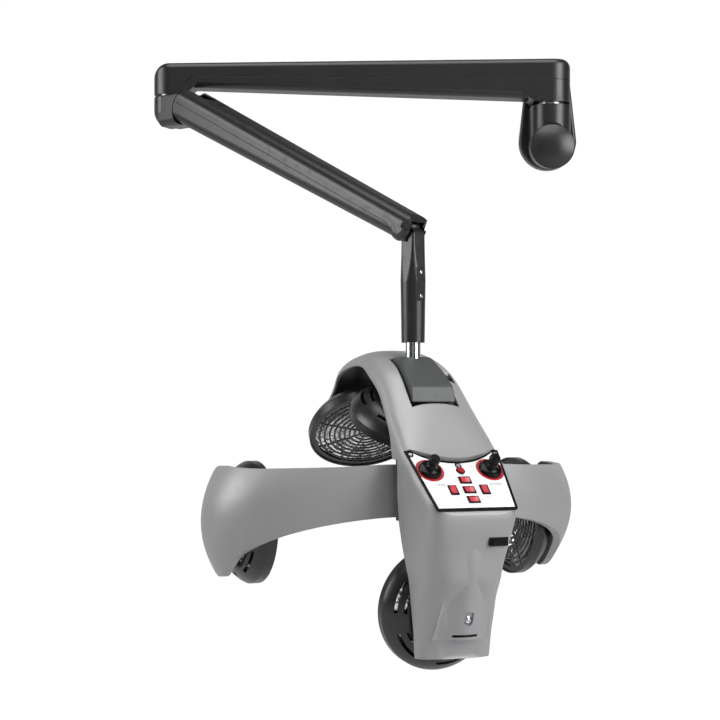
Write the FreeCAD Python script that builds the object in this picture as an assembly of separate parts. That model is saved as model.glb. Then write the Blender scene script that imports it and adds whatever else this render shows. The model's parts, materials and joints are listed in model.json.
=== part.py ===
import FreeCAD, Part
import math
import os
from FreeCAD import Placement, Rotation, Vector

# Wall-hung hair colour processor: a double-jointed swing arm carries a yoke of five infrared lamps.
# Frame of the part: X right, Y into the wall, Z up, in mm. The origin is on the wall, at the centre of
# the wall plate's round end, so the whole object lies at negative Y.
# Frame of the processor head: x right, y towards the nape side's back, z up. Its z axis is the neck
# tube's axis, the client's head is centred near (0, 60, 0), and the control panel faces -y.
# Frame of the lower arm: x along the arm from the lift pin, y across it, z square to both.

# ---- Fits ----
RUNNING_GAP = 0.05
SEAT_GAP = 0.3
COVER_SEAM = 0.6

# ---- Wall bracket ----
BRACKET_RADIUS = 56.0
BRACKET_TOP_HALF_WIDTH = 42.0
BRACKET_TOP = 128.0
BRACKET_DEPTH = 30.0
BRACKET_WALL = 5.0
WALL_PLATE_THICKNESS = 5.0
WALL_PLATE_MARGIN = 2.0
WALL_BOLT_SPACING_X = 60.0
WALL_BOLT_SPACING_Z = 60.0
WALL_BOLT_RADIUS = 3.5
SPINDLE_REACH = 90.0
FRONT_BOSS_RADIUS = 38.0
FRONT_BOSS_TOP = 60.0
CAP_CENTRE_Z = -22.0
CAP_RADIUS = 44.5
NOSE_ROOT_RADIUS = 39.0
NOSE_ROOT_Z = -15.0
CAP_FACE_DEPTH = 124.0
CAP_DOME_HEIGHT = 12.0
CAP_RIM = 2.0
BOLT_RECESS_RADIUS = 14.0
BOLT_RECESS_DEPTH = 34.0
CENTRE_BOLT_RADIUS = 5.0
CENTRE_BOLT_HEAD_RADIUS = 9.0
CENTRE_BOLT_HEAD = 7.0
SPINDLE_RADIUS = 11.0
SPINDLE_FOOT_Z = 10.0
SPINDLE_HEAD_RADIUS = 17.0
SPINDLE_HEAD = 7.0
WASHER_RADIUS = 24.0
WASHER_THICKNESS = 5.0

# ---- Upper arm ----
UPPER_ARM_LENGTH = 735.0
UPPER_WALL_END_RADIUS = 37.0
UPPER_ELBOW_END_RADIUS = 34.0
UPPER_TOP_AT_WALL = 148.0
UPPER_TOP_AT_ELBOW = 139.0
UPPER_BOTTOM_AT_WALL = FRONT_BOSS_TOP + WASHER_THICKNESS
UPPER_BOTTOM_AT_ELBOW = 80.0
UPPER_BELLY_AT_WALL = 71.0
UPPER_BELLY_AT_ELBOW = 92.0
UPPER_SEAM_AT_WALL = 107.5
UPPER_SEAM_AT_ELBOW = 114.0
UPPER_SEAM_STEP_X = 42.0
UPPER_SEAM_CHAMFER = 13.0
UPPER_EDGE_RADIUS = 11.0
UPPER_BELLY_RADIUS = 15.0
UPPER_ELBOW_CORNER = 30.0
UPPER_WALL_CORNER = 20.0
COVER_WALL = 3.0
HUB_RADIUS = 21.0
BUSH_RADIUS = 14.5
BUSH_LENGTH = 16.0
HUB_TOP_DROP = 22.0
UPPER_BEAM_WIDTH = 30.0
UPPER_BEAM_HEIGHT = 24.0
BEAM_WALL = 3.0

# ---- Knuckle ----
KNUCKLE_RADIUS = 34.0
KNUCKLE_TOP = 77.0
KNUCKLE_BOTTOM = 16.0
KNUCKLE_SHOULDER_Z = KNUCKLE_BOTTOM + KNUCKLE_RADIUS
KNUCKLE_FLAT = 4.0
KNUCKLE_CHEEK_STEP = 0.8
TONGUE_HALF_WIDTH = 11.0
TONGUE_SLOT_HALF_WIDTH = 4.6
ELBOW_WASHER_RADIUS = 25.0

# ---- Lower arm ----
LOWER_ARM_AZIMUTH = -46.4
LOWER_ARM_PITCH = 24.3
LOWER_LINK = 623.0
LIFT_OFFSET = 80.0
LIFT_Z = 42.5
TIP_OFFSET = 12.0
LOWER_ELBOW_HALF_HEIGHT = 33.0
LOWER_TIP_HALF_HEIGHT = 24.0
LOWER_ELBOW_HALF_WIDTH = 33.0
LOWER_TIP_HALF_WIDTH = 27.0
LOWER_END_RADIUS = 36.0
LOWER_END_GAP = 1.6
LOWER_NOSE_REACH = 27.0
LOWER_NOSE_RADIUS = 22.0
LOWER_CHEEK_RADIUS = 27.0
LOWER_SEAM_AT_ELBOW = 5.0
LOWER_SEAM_AT_TIP = -4.0
LOWER_EDGE_RADIUS = 19.0
LIFT_PIN_RADIUS = 5.0
LINK_OFFSET = 13.0
LINK_PIN_RADIUS = 3.5
LINK_FREE_CLEARANCE = 1.2
LINK_HALF_THICKNESS = 4.0
LINK_HALF_HEIGHT = 3.5
LINK_EYE_RADIUS = 7.0
CHANNEL_HALF_WIDTH = 16.0
CHANNEL_INNER_HALF_WIDTH = 12.0
CHANNEL_FLOOR_ELBOW = -29.0
CHANNEL_FLOOR_TIP = -20.0
CHANNEL_RIM = 5.0
CHANNEL_FLOOR_THICKNESS = 2.5
STRUT_OFFSET = 14.5
STRUT_TUBE_RADIUS = 6.0
STRUT_ROD_RADIUS = 3.5
STRUT_TUBE_START = 120.0
STRUT_TUBE_LENGTH = 190.0
STRUT_ROD_OVERLAP = 45.0
STRUT_EYE_CLEARANCE = 1.4

# ---- Post and neck ----
POST_RADIUS = 21.3
POST_FOOT_RADIUS = 19.8
POST_SQUARE = 30.0
POST_SQUARE_CORNER = 4.0
POST_FOOT_DROP = 198.5
POST_ROUND_DROP = 95.0
POST_SHOULDER_DROP = 13.0
POST_HEAD_RISE = 1.0
POST_HEAD_RADIUS = 21.0
POST_FLAT_REACH = 18.5
POST_PLATE_DROP_TOP = 71.5
POST_PLATE_DROP_BOTTOM = 128.0
POST_PLATE_WIDTH = 19.0
POST_PLATE_THICKNESS = 2.0
NECK_RADIUS = 12.7
NECK_WALL = 2.0
NECK_ENTRY = 95.0

# ---- Processor head: place ----
HEAD_YAW = 24.0
HEAD_DROP = 503.0

# ---- Hub on the neck ----
HUB_TOP_Z = 281.0
HUB_FRONT_Y = -81.5
HUB_BREAK_Y = -74.0
HUB_BREAK_Z = 230.0
HUB_FOOT_Z = 204.0
HUB_REAR_Y = 18.0
HUB_REAR_RISE = 42.0
HUB_TOP_HALF_WIDTH = 29.0
HUB_WAIST_HALF_WIDTH = 37.0
HUB_WAIST_Z = 250.0
HUB_FOOT_HALF_WIDTH = 39.5
HUB_WALL = 3.0
TILT_Y = -32.0
TILT_Z = 235.0
TILT_PIN_RADIUS = 5.0
TILT_FORWARD = 8.0
TILT_BACK = 6.0
TILT_BLOCK_RADIUS = 13.0
TILT_BLOCK_HALF_WIDTH = 24.0
NOTCH_GAP = 4.0
NOTCH_HALF_WIDTH = 45.0
EAR_INNER_X = 39.5
EAR_OUTER_X = 43.5
EAR_RADIUS = 7.5
YOKE_HALF_WIDTH = 49.0
YOKE_BAR = 8.0
YOKE_HEIGHT = 10.0
TILT_KNOB_RADIUS = 9.0
TILT_KNOB_LENGTH = 11.0

# ---- Spine shell ----
SHELL_WALL = 3.0
ARCH_CENTRE_Y = 40.0
ARCH_CENTRE_Z = 60.0
SPINE_FOOT_Z = -212.0
LINER_RECESS = 3.0
LINER_THICKNESS = 3.0
WING_RELIEF_Y = -121.0

# ---- Control panel ----
PANEL_FOOT_Y = -238.0
PANEL_FOOT_Z = 33.0
PANEL_SLOPE = 43.7
PANEL_LENGTH = 128.0
PANEL_TOP_HALF_WIDTH = 82.0
PANEL_FOOT_HALF_WIDTH = 69.0
PANEL_DIP_V = 102.0
PANEL_EAR_WIDTH = 9.0
PANEL_BORDER = 3.5
PANEL_THICKNESS = 1.6
BROW_ANGLE = 67.0
BROW_DROP = 1.0
PANEL_SCREW_RADIUS = 3.0
DIAL_U = 54.5
DIAL_V = 86.0
DIAL_SKIRT_RADIUS = 19.5
DIAL_SKIRT_HEIGHT = 7.0
DIAL_STEM_RADIUS = 9.5
DIAL_HEIGHT = 30.0
DIAL_SHAFT_RADIUS = 3.0
DIAL_CLEARANCE = 0.5
ROCKER_LENGTH = 21.0
ROCKER_WIDTH = 15.0
ROCKER_BEZEL = 2.2
ROCKER_HEIGHT = 3.0
ROCKER_TILT_CLEARANCE = 0.9
ROCKER_DEPTH = 9.0
ROCKER_AXLE_RADIUS = 1.2
ROCKER_AXLE_REACH = 1.1
ROCKER_PITCH_U = 28.3
ROCKER_MID_V = 41.2
ROCKER_PITCH_V = 21.6
RESET_V = 84.4
RESET_RADIUS = 6.0
RESET_TRAVEL = 1.5
MAINS_X = 41.0
MAINS_Y = -232.8
MAINS_YAW = 9.0
MAINS_LEAN = 92.0
MAINS_Z = -20.0
MAINS_LENGTH = 34.0
MAINS_WIDTH = 12.0
MAINS_FLANGE = 2.0

# ---- Nape screw and slot ----
CUP_SCREW_Y = -203.5
CUP_SCREW_Z = -147.0
CUP_WASHER_RADIUS = 7.0
CUP_SCREW_RADIUS = 2.4
SLOT_Z = -173.0
SLOT_LENGTH = 45.0
SLOT_HEIGHT = 4.0

# ---- Wings ----
WING_CENTRE_X = 60.0
WING_CENTRE_Y = 92.0
WING_SEMI_X = 281.0
WING_SEMI_Y = 192.0
WING_DEPTH = 13.0
WING_WALL = 3.0
WING_LINER_RECESS = 2.0
WING_HINGE_X = 64.0
WING_HINGE_Y = -89.0
WING_PIN_RADIUS = 4.0
WING_ROOT_RADIUS = 10.5
WING_ROOT_LOW = 15.0
WING_ROOT_TOP = 101.0
WING_LUG_THICKNESS = 6.0

# ---- Lamps ----
LAMP_RADIUS = 104.0
LAMP_BAND = 15.0
LAMP_DEPTH = 47.0
LAMP_STEM_RADIUS = 15.0
LAMP_STEM_REACH = 60.0
CROWN_STEM_X = 60.0
CROWN_STEM_Y = 15.0
CROWN_STEM_RADIUS = 9.0
LAMP_BACK_RADIUS = 42.0
LAMP_WALL = 2.5
LAMP_SLOT_SECTORS = 6
LAMP_SLOT_RADII = (60.0, 74.0, 88.0)
LAMP_SLOT_WIDTH = 5.0
LAMP_SLOT_ARC = 36.0
GRILLE_RINGS = (22.0, 42.0, 62.0, 82.0)
GRILLE_BAR = 2.0
GRILLE_SPOKES = 8
REFLECTOR_RADIUS = 94.0
EMITTER_RADIUS = 24.0
EMITTER_LENGTH = 26.0

X_AXIS = Vector(1, 0, 0)
Y_AXIS = Vector(0, 1, 0)
Z_AXIS = Vector(0, 0, 1)
ORIGIN = Vector(0, 0, 0)


def turned(angle, axis=Z_AXIS):
    return Placement(ORIGIN, Rotation(axis, angle))


def moved(x, y, z):
    return Placement(Vector(x, y, z), Rotation())


ELBOW = Vector(-UPPER_ARM_LENGTH, -SPINDLE_REACH, 0)
KNUCKLE_FRAME = Placement(ELBOW, Rotation(Z_AXIS, LOWER_ARM_AZIMUTH))
ARM_FRAME = KNUCKLE_FRAME.multiply(moved(LIFT_OFFSET, 0, LIFT_Z)).multiply(turned(LOWER_ARM_PITCH, Y_AXIS))
PITCH = math.radians(LOWER_ARM_PITCH)
POST_REACH = LIFT_OFFSET + LOWER_LINK * math.cos(PITCH) + TIP_OFFSET
TIP_Z = LIFT_Z - LOWER_LINK * math.sin(PITCH)
POST_FRAME = KNUCKLE_FRAME.multiply(moved(POST_REACH, 0, TIP_Z))
POST_AXIS = POST_FRAME.Base
HEAD_FRAME = Placement(Vector(POST_AXIS.x, POST_AXIS.y, TIP_Z - HEAD_DROP), Rotation(Z_AXIS, HEAD_YAW))
PANEL_FRAME = Placement(Vector(0, PANEL_FOOT_Y, PANEL_FOOT_Z), Rotation(X_AXIS, PANEL_SLOPE))


# ---- Shape helpers ----
def block(x0, x1, y0, y1, z0, z1):
    """Box between two corners."""
    return Part.makeBox(x1 - x0, y1 - y0, z1 - z0, Vector(x0, y0, z0))


def rod(start, end, radius):
    """Cylinder from one point to another."""
    along = end - start
    return Part.makeCylinder(radius, along.Length, start, along)


def tube(start, end, outer, inner):
    """Hollow cylinder from one point to another."""
    return rod(start, end, outer).cut(rod(start, end, inner))


def placed(shape, frame):
    """Copy of a shape, carried from a local frame into the frame around it."""
    copy = shape.copy()
    copy.Placement = frame.multiply(copy.Placement)
    return copy


def fused(shapes):
    """All shapes as one solid."""
    first = shapes[0]
    return first.fuse(shapes[1:]) if len(shapes) > 1 else first


def mirrored(shape):
    """Copy of a head-frame shape on the other side of the head's middle plane."""
    return shape.mirror(ORIGIN, X_AXIS)


def corner_arc(before, corner, after, radius):
    """Start, middle and end of the arc that rounds a corner."""
    towards = (before - corner).normalize()
    away = (after - corner).normalize()
    half = towards.getAngle(away) / 2
    run = radius / math.tan(half)
    bisector = (towards + away).normalize()
    centre = corner + bisector * (radius / math.sin(half))
    return corner + towards * run, centre - bisector * radius, corner + away * run


def outline(corners, lift):
    """Closed wire through corners given as (u, v) or (u, v, radius); lift turns u, v into a point."""
    points = [lift(c[0], c[1]) for c in corners]
    edges = []
    ends = []
    for i, corner in enumerate(corners):
        radius = corner[2] if len(corner) > 2 else 0
        if radius:
            arc = corner_arc(points[i - 1], points[i], points[(i + 1) % len(points)], radius)
            ends.append((arc[0], arc[2], Part.Arc(*arc).toShape()))
        else:
            ends.append((points[i], points[i], None))
    for i, (start, end, arc) in enumerate(ends):
        if arc:
            edges.append(arc)
        following = ends[(i + 1) % len(ends)][0]
        if (following - end).Length > 1e-6:
            edges.append(Part.LineSegment(end, following).toShape())
    return Part.Wire(edges)


def side_prism(corners, y0, y1):
    """Side view profile, given in (x, z), extruded across from y0 to y1."""
    wire = outline(corners, lambda u, v: Vector(u, y0, v))
    return Part.Face(wire).extrude(Vector(0, y1 - y0, 0))


def plan_prism(corners, z0, z1):
    """Plan view profile, given in (x, y), extruded from z0 to z1."""
    wire = outline(corners, lambda u, v: Vector(u, v, z0))
    return Part.Face(wire).extrude(Vector(0, 0, z1 - z0))


def end_prism(corners, x0, x1):
    """Profile seen along x, given in (y, z), extruded from x0 to x1."""
    wire = outline(corners, lambda u, v: Vector(x0, u, v))
    return Part.Face(wire).extrude(Vector(x1 - x0, 0, 0))


def spline(points):
    """Smooth edge through points."""
    curve = Part.BSplineCurve()
    curve.interpolate(points)
    return curve.toShape()


def turned_profile(edges, centre, axis):
    """Full turn of a closed profile about an axis."""
    solid = Part.Face(Part.Wire(edges)).revolve(centre, axis, 360)
    if solid.Volume < 0:
        solid.reverse()
    return solid


def polyline_edges(points):
    """Straight edges joining points in order."""
    return [Part.LineSegment(a, b).toShape() for a, b in zip(points, points[1:])]


def export(name, shape, frame=Placement()):
    """Writes one node's solids, carried into the part's frame."""
    shape = placed(shape, frame)
    shape.exportStep("parts/" + name + ".step")
    sound = all(s.isValid() for s in shape.Solids)
    print(f"{name}: {len(shape.Solids)} solid(s), {shape.Volume / 1000:.1f} cm3, valid {sound}")


# ---- Wall bracket ----
def bracket_outline(inset):
    """Teardrop of the wall bracket, shrunk by inset: a round end below, a narrower flat end on top."""
    radius = BRACKET_RADIUS - inset
    half_top = BRACKET_TOP_HALF_WIDTH - inset
    top = BRACKET_TOP - inset
    lean = math.atan2(radius - half_top, top)
    left = (-radius * math.cos(lean), radius * math.sin(lean))
    points = [Vector(left[0], 0, left[1]), Vector(0, 0, -radius), Vector(-left[0], 0, left[1])]
    shoulder = 18.0
    top_right = Vector(half_top, 0, top)
    top_left = Vector(-half_top, 0, top)
    right_arc = corner_arc(points[2], top_right, top_left, shoulder)
    left_arc = corner_arc(top_right, top_left, points[0], shoulder)
    return Part.Wire([
        Part.Arc(*points).toShape(),
        Part.LineSegment(points[2], right_arc[0]).toShape(),
        Part.Arc(*right_arc).toShape(),
        Part.LineSegment(right_arc[2], left_arc[0]).toShape(),
        Part.Arc(*left_arc).toShape(),
        Part.LineSegment(left_arc[2], points[0]).toShape(),
    ])


def bracket_slab(inset, y0, y1):
    """Teardrop slab between two depths from the wall."""
    face = Part.Face(bracket_outline(inset))
    return placed(face.extrude(Vector(0, y0 - y1, 0)), moved(0, y1, 0))


def wall_plate():
    """Steel plate screwed to the wall, with a threaded boss for the centre bolt."""
    body = bracket_slab(BRACKET_WALL + WALL_PLATE_MARGIN, -WALL_PLATE_THICKNESS, 0)
    body = body.fuse(rod(Vector(0, 0, CAP_CENTRE_Z), Vector(0, BRACKET_WALL - BRACKET_DEPTH, CAP_CENTRE_Z), 11.0))
    holes = [rod(Vector(0, 0, CAP_CENTRE_Z), Vector(0, -BRACKET_DEPTH, CAP_CENTRE_Z), CENTRE_BOLT_RADIUS)]
    for x in (-WALL_BOLT_SPACING_X / 2, WALL_BOLT_SPACING_X / 2):
        for z in (-WALL_BOLT_SPACING_Z / 2, WALL_BOLT_SPACING_Z / 2):
            holes.append(rod(Vector(x, 1, z), Vector(x, -WALL_PLATE_THICKNESS - 1, z), WALL_BOLT_RADIUS))
    return body.cut(holes)


def wall_bracket():
    """Cast bracket: a hollow teardrop base with a boss in front for the spindle and the centre bolt."""
    base = bracket_slab(0, -BRACKET_DEPTH, 0)
    base = base.makeFillet(6.0, [e for e in base.Edges if e.BoundBox.YMax < -BRACKET_DEPTH + 0.1])
    hollow = bracket_slab(BRACKET_WALL, -BRACKET_DEPTH + BRACKET_WALL, 1.0)
    boss_axis = Vector(0, -SPINDLE_REACH, 0)
    boss = rod(boss_axis + Vector(0, 0, CAP_CENTRE_Z), boss_axis + Vector(0, 0, FRONT_BOSS_TOP), FRONT_BOSS_RADIUS)
    web = block(-FRONT_BOSS_RADIUS, FRONT_BOSS_RADIUS, -SPINDLE_REACH, -BRACKET_DEPTH + 2, CAP_CENTRE_Z, FRONT_BOSS_TOP)
    root = Part.Circle(Vector(0, -BRACKET_DEPTH + 2, NOSE_ROOT_Z), Y_AXIS, NOSE_ROOT_RADIUS).toShape()
    face = Part.Circle(Vector(0, -CAP_FACE_DEPTH, CAP_CENTRE_Z), Y_AXIS, CAP_RADIUS - 1.5).toShape()
    nose = Part.makeLoft([Part.Wire(root), Part.Wire(face)], True, True)
    body = base.cut(hollow).fuse([boss, web, nose])
    bolt_top = Vector(0, -CAP_FACE_DEPTH, CAP_CENTRE_Z)
    cuts = [
        rod(bolt_top, bolt_top - Vector(0, 30, 0), CAP_RADIUS + 0.5),
        rod(bolt_top - Vector(0, 1, 0), bolt_top + Vector(0, BOLT_RECESS_DEPTH, 0), BOLT_RECESS_RADIUS),
        rod(bolt_top, Vector(0, 0, CAP_CENTRE_Z), CENTRE_BOLT_RADIUS + 0.3),
        rod(boss_axis + Vector(0, 0, SPINDLE_FOOT_Z), boss_axis + Vector(0, 0, FRONT_BOSS_TOP + 1), SPINDLE_RADIUS),
    ]
    return body.cut(cuts)


def centre_bolt():
    """Bolt that draws the bracket on to the wall plate."""
    seat = -CAP_FACE_DEPTH + BOLT_RECESS_DEPTH
    shank = rod(Vector(0, seat, CAP_CENTRE_Z), Vector(0, -8.0, CAP_CENTRE_Z), CENTRE_BOLT_RADIUS)
    head = rod(Vector(0, seat, CAP_CENTRE_Z), Vector(0, seat - CENTRE_BOLT_HEAD, CAP_CENTRE_Z), CENTRE_BOLT_HEAD_RADIUS)
    socket = rod(Vector(0, seat - CENTRE_BOLT_HEAD - 1, CAP_CENTRE_Z), Vector(0, seat - 3, CAP_CENTRE_Z), 4.0)
    return shank.fuse(head).cut(socket)


def dome_cap():
    """Domed cover over the centre bolt, seated on the bracket's nose with a shadow groove."""
    def depth(distance):
        return Vector(0, -CAP_FACE_DEPTH - distance, CAP_CENTRE_Z)

    groove = CAP_RADIUS - 3.0
    rise = CAP_DOME_HEIGHT - CAP_RIM
    sphere = (groove * groove + rise * rise) / (2 * rise)
    rim = rod(depth(0), depth(CAP_RIM), CAP_RADIUS - 1.5)
    dome = rod(depth(CAP_RIM), depth(CAP_DOME_HEIGHT + 1), groove).common(
        Part.makeSphere(sphere, depth(CAP_DOME_HEIGHT - sphere)))
    spigot = tube(depth(-6.0), depth(0), BOLT_RECESS_RADIUS - SEAT_GAP, BOLT_RECESS_RADIUS - 3.5)
    return fused([rim, dome, spigot])


def spindle(axis, foot_z, seat_z):
    """Shoulder bolt: a shaft from foot_z with a head resting at seat_z."""
    shaft = rod(axis + Vector(0, 0, foot_z), axis + Vector(0, 0, seat_z), SPINDLE_RADIUS)
    head = rod(axis + Vector(0, 0, seat_z), axis + Vector(0, 0, seat_z + SPINDLE_HEAD), SPINDLE_HEAD_RADIUS)
    socket = rod(axis + Vector(0, 0, seat_z + 2), axis + Vector(0, 0, seat_z + SPINDLE_HEAD + 1), 6.0)
    return shaft.fuse(head).cut(socket)


WALL_AXIS = Vector(0, -SPINDLE_REACH, 0)
WALL_HUB_TOP = UPPER_TOP_AT_WALL - HUB_TOP_DROP
ELBOW_HUB_TOP = UPPER_TOP_AT_ELBOW - HUB_TOP_DROP


# ---- Upper arm ----
def upper_arm_form(inset):
    """Outer form of the upper arm, shrunk by inset: plan taper crossed with the side taper."""
    wall_radius = UPPER_WALL_END_RADIUS - inset
    elbow_radius = UPPER_ELBOW_END_RADIUS - inset
    length = UPPER_ARM_LENGTH
    lean = math.asin((wall_radius - elbow_radius) / length)

    def rim(x, radius, side):
        return Vector(x + radius * math.sin(lean), side * radius * math.cos(lean) - SPINDLE_REACH, 0)

    plan = Part.Wire([
        Part.Arc(rim(0, wall_radius, -1), Vector(wall_radius, -SPINDLE_REACH, 0), rim(0, wall_radius, 1)).toShape(),
        Part.LineSegment(rim(0, wall_radius, 1), rim(-length, elbow_radius, 1)).toShape(),
        Part.Arc(rim(-length, elbow_radius, 1), Vector(-length - elbow_radius, -SPINDLE_REACH, 0),
                 rim(-length, elbow_radius, -1)).toShape(),
        Part.LineSegment(rim(-length, elbow_radius, -1), rim(0, wall_radius, -1)).toShape(),
    ])
    column = Part.Face(plan).extrude(Vector(0, 0, UPPER_TOP_AT_WALL + 10))
    x_wall = wall_radius + 1
    x_elbow = -length - elbow_radius - 0.001
    half = WASHER_RADIUS + 12
    side = side_prism([
        (x_wall, UPPER_BOTTOM_AT_WALL + inset),
        (x_wall, UPPER_TOP_AT_WALL - inset, UPPER_WALL_CORNER - inset),
        (x_elbow, UPPER_TOP_AT_ELBOW - inset, UPPER_ELBOW_CORNER - inset),
        (x_elbow, UPPER_BOTTOM_AT_ELBOW + inset),
        (-length + half - 4 - inset, UPPER_BOTTOM_AT_ELBOW + inset),
        (-length + half + 8 - inset, UPPER_BELLY_AT_ELBOW + inset),
        (-half - 8 + inset, UPPER_BELLY_AT_WALL + inset),
        (-half + inset, UPPER_BOTTOM_AT_WALL + inset),
    ], -SPINDLE_REACH - 60, -SPINDLE_REACH + 60)
    form = column.common(side)
    middle = (UPPER_SEAM_AT_WALL + UPPER_SEAM_AT_ELBOW) / 2
    long_edges = [e for e in form.Edges if e.BoundBox.XLength > 120 or e.BoundBox.YLength > 30]
    belly = [e for e in long_edges if e.BoundBox.Center.z < middle and e.BoundBox.XLength > 120]
    form = form.makeFillet(UPPER_BELLY_RADIUS - inset, belly)
    long_edges = [e for e in form.Edges if e.BoundBox.XLength > 120 or e.BoundBox.YLength > 30]
    crest = [e for e in long_edges if e.BoundBox.ZMin > middle + 15 and e.BoundBox.XLength > 120]
    return form.makeFillet(UPPER_EDGE_RADIUS - inset, crest)


def upper_seam_region(gap):
    """Region of the arm's top cover: above the seam, and all of the elbow end; gap lowers the seam."""
    step = -UPPER_ARM_LENGTH + UPPER_SEAM_STEP_X
    return side_prism([
        (UPPER_WALL_END_RADIUS + 5, UPPER_SEAM_AT_WALL - gap),
        (UPPER_WALL_END_RADIUS + 5, UPPER_TOP_AT_WALL + 10),
        (-UPPER_ARM_LENGTH - 60, UPPER_TOP_AT_WALL + 10),
        (-UPPER_ARM_LENGTH - 60, UPPER_BOTTOM_AT_ELBOW - 10),
        (step - UPPER_SEAM_CHAMFER + gap, UPPER_BOTTOM_AT_ELBOW - 10),
        (step - UPPER_SEAM_CHAMFER + gap, UPPER_SEAM_AT_ELBOW - UPPER_SEAM_CHAMFER - gap),
        (step + gap, UPPER_SEAM_AT_ELBOW - gap),
    ], -SPINDLE_REACH - 70, -SPINDLE_REACH + 70)


def upper_arm_shell():
    """Rounded, hollow form of the upper arm with its two spindle holes in the floor."""
    form = upper_arm_form(0)
    hollow = upper_arm_form(COVER_WALL)
    holes = [rod(axis + Vector(0, 0, 0), axis + Vector(0, 0, 110), HUB_RADIUS + 1) for axis in (WALL_AXIS, ELBOW)]
    return form.cut(hollow).cut(holes)


def upper_arm_beam():
    """Welded steel carrier: two hubs joined by a square tube."""
    half_width = UPPER_BEAM_WIDTH / 2
    half_height = UPPER_BEAM_HEIGHT / 2
    middle_z = UPPER_BELLY_AT_ELBOW + COVER_WALL + SEAT_GAP + half_height
    y = -SPINDLE_REACH
    bar = block(-UPPER_ARM_LENGTH, 0, y - half_width, y + half_width, middle_z - half_height, middle_z + half_height)
    bore = block(-UPPER_ARM_LENGTH, 0, y - half_width + BEAM_WALL, y + half_width - BEAM_WALL,
                 middle_z - half_height + BEAM_WALL, middle_z + half_height - BEAM_WALL)
    hubs = []
    holes = []
    for axis, low, top in ((WALL_AXIS, UPPER_BOTTOM_AT_WALL, WALL_HUB_TOP),
                           (ELBOW, UPPER_BOTTOM_AT_ELBOW, ELBOW_HUB_TOP)):
        hubs.append(rod(axis + Vector(0, 0, low), axis + Vector(0, 0, top), HUB_RADIUS))
        holes.append(rod(axis + Vector(0, 0, low), axis + Vector(0, 0, top), BUSH_RADIUS))
        holes.append(rod(axis + Vector(0, 0, top), axis + Vector(0, 0, top + SPINDLE_HEAD + 1), SPINDLE_HEAD_RADIUS + 1))
    return bar.cut(bore).fuse(hubs).cut(holes)


def arm_bushes():
    """Plain bushes at both ends of each hub."""
    made = []
    for axis, low, top in ((WALL_AXIS, UPPER_BOTTOM_AT_WALL, WALL_HUB_TOP),
                           (ELBOW, UPPER_BOTTOM_AT_ELBOW, ELBOW_HUB_TOP)):
        for start in (low, top - BUSH_LENGTH):
            made.append(tube(axis + Vector(0, 0, start), axis + Vector(0, 0, start + BUSH_LENGTH),
                             BUSH_RADIUS, SPINDLE_RADIUS + RUNNING_GAP))
    return Part.makeCompound(made)


# ---- Knuckle, in its own frame: x towards the lower arm ----
def lug_offset():
    """Place of the strut's lug pin, square below the lift pin as the arm lies."""
    return Vector(LIFT_OFFSET - STRUT_OFFSET * math.sin(PITCH), 0, LIFT_Z - STRUT_OFFSET * math.cos(PITCH))


def across(point, half, radius):
    """Cylinder across the arm through a point."""
    return rod(point - Vector(0, half, 0), point + Vector(0, half, 0), radius)


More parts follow.
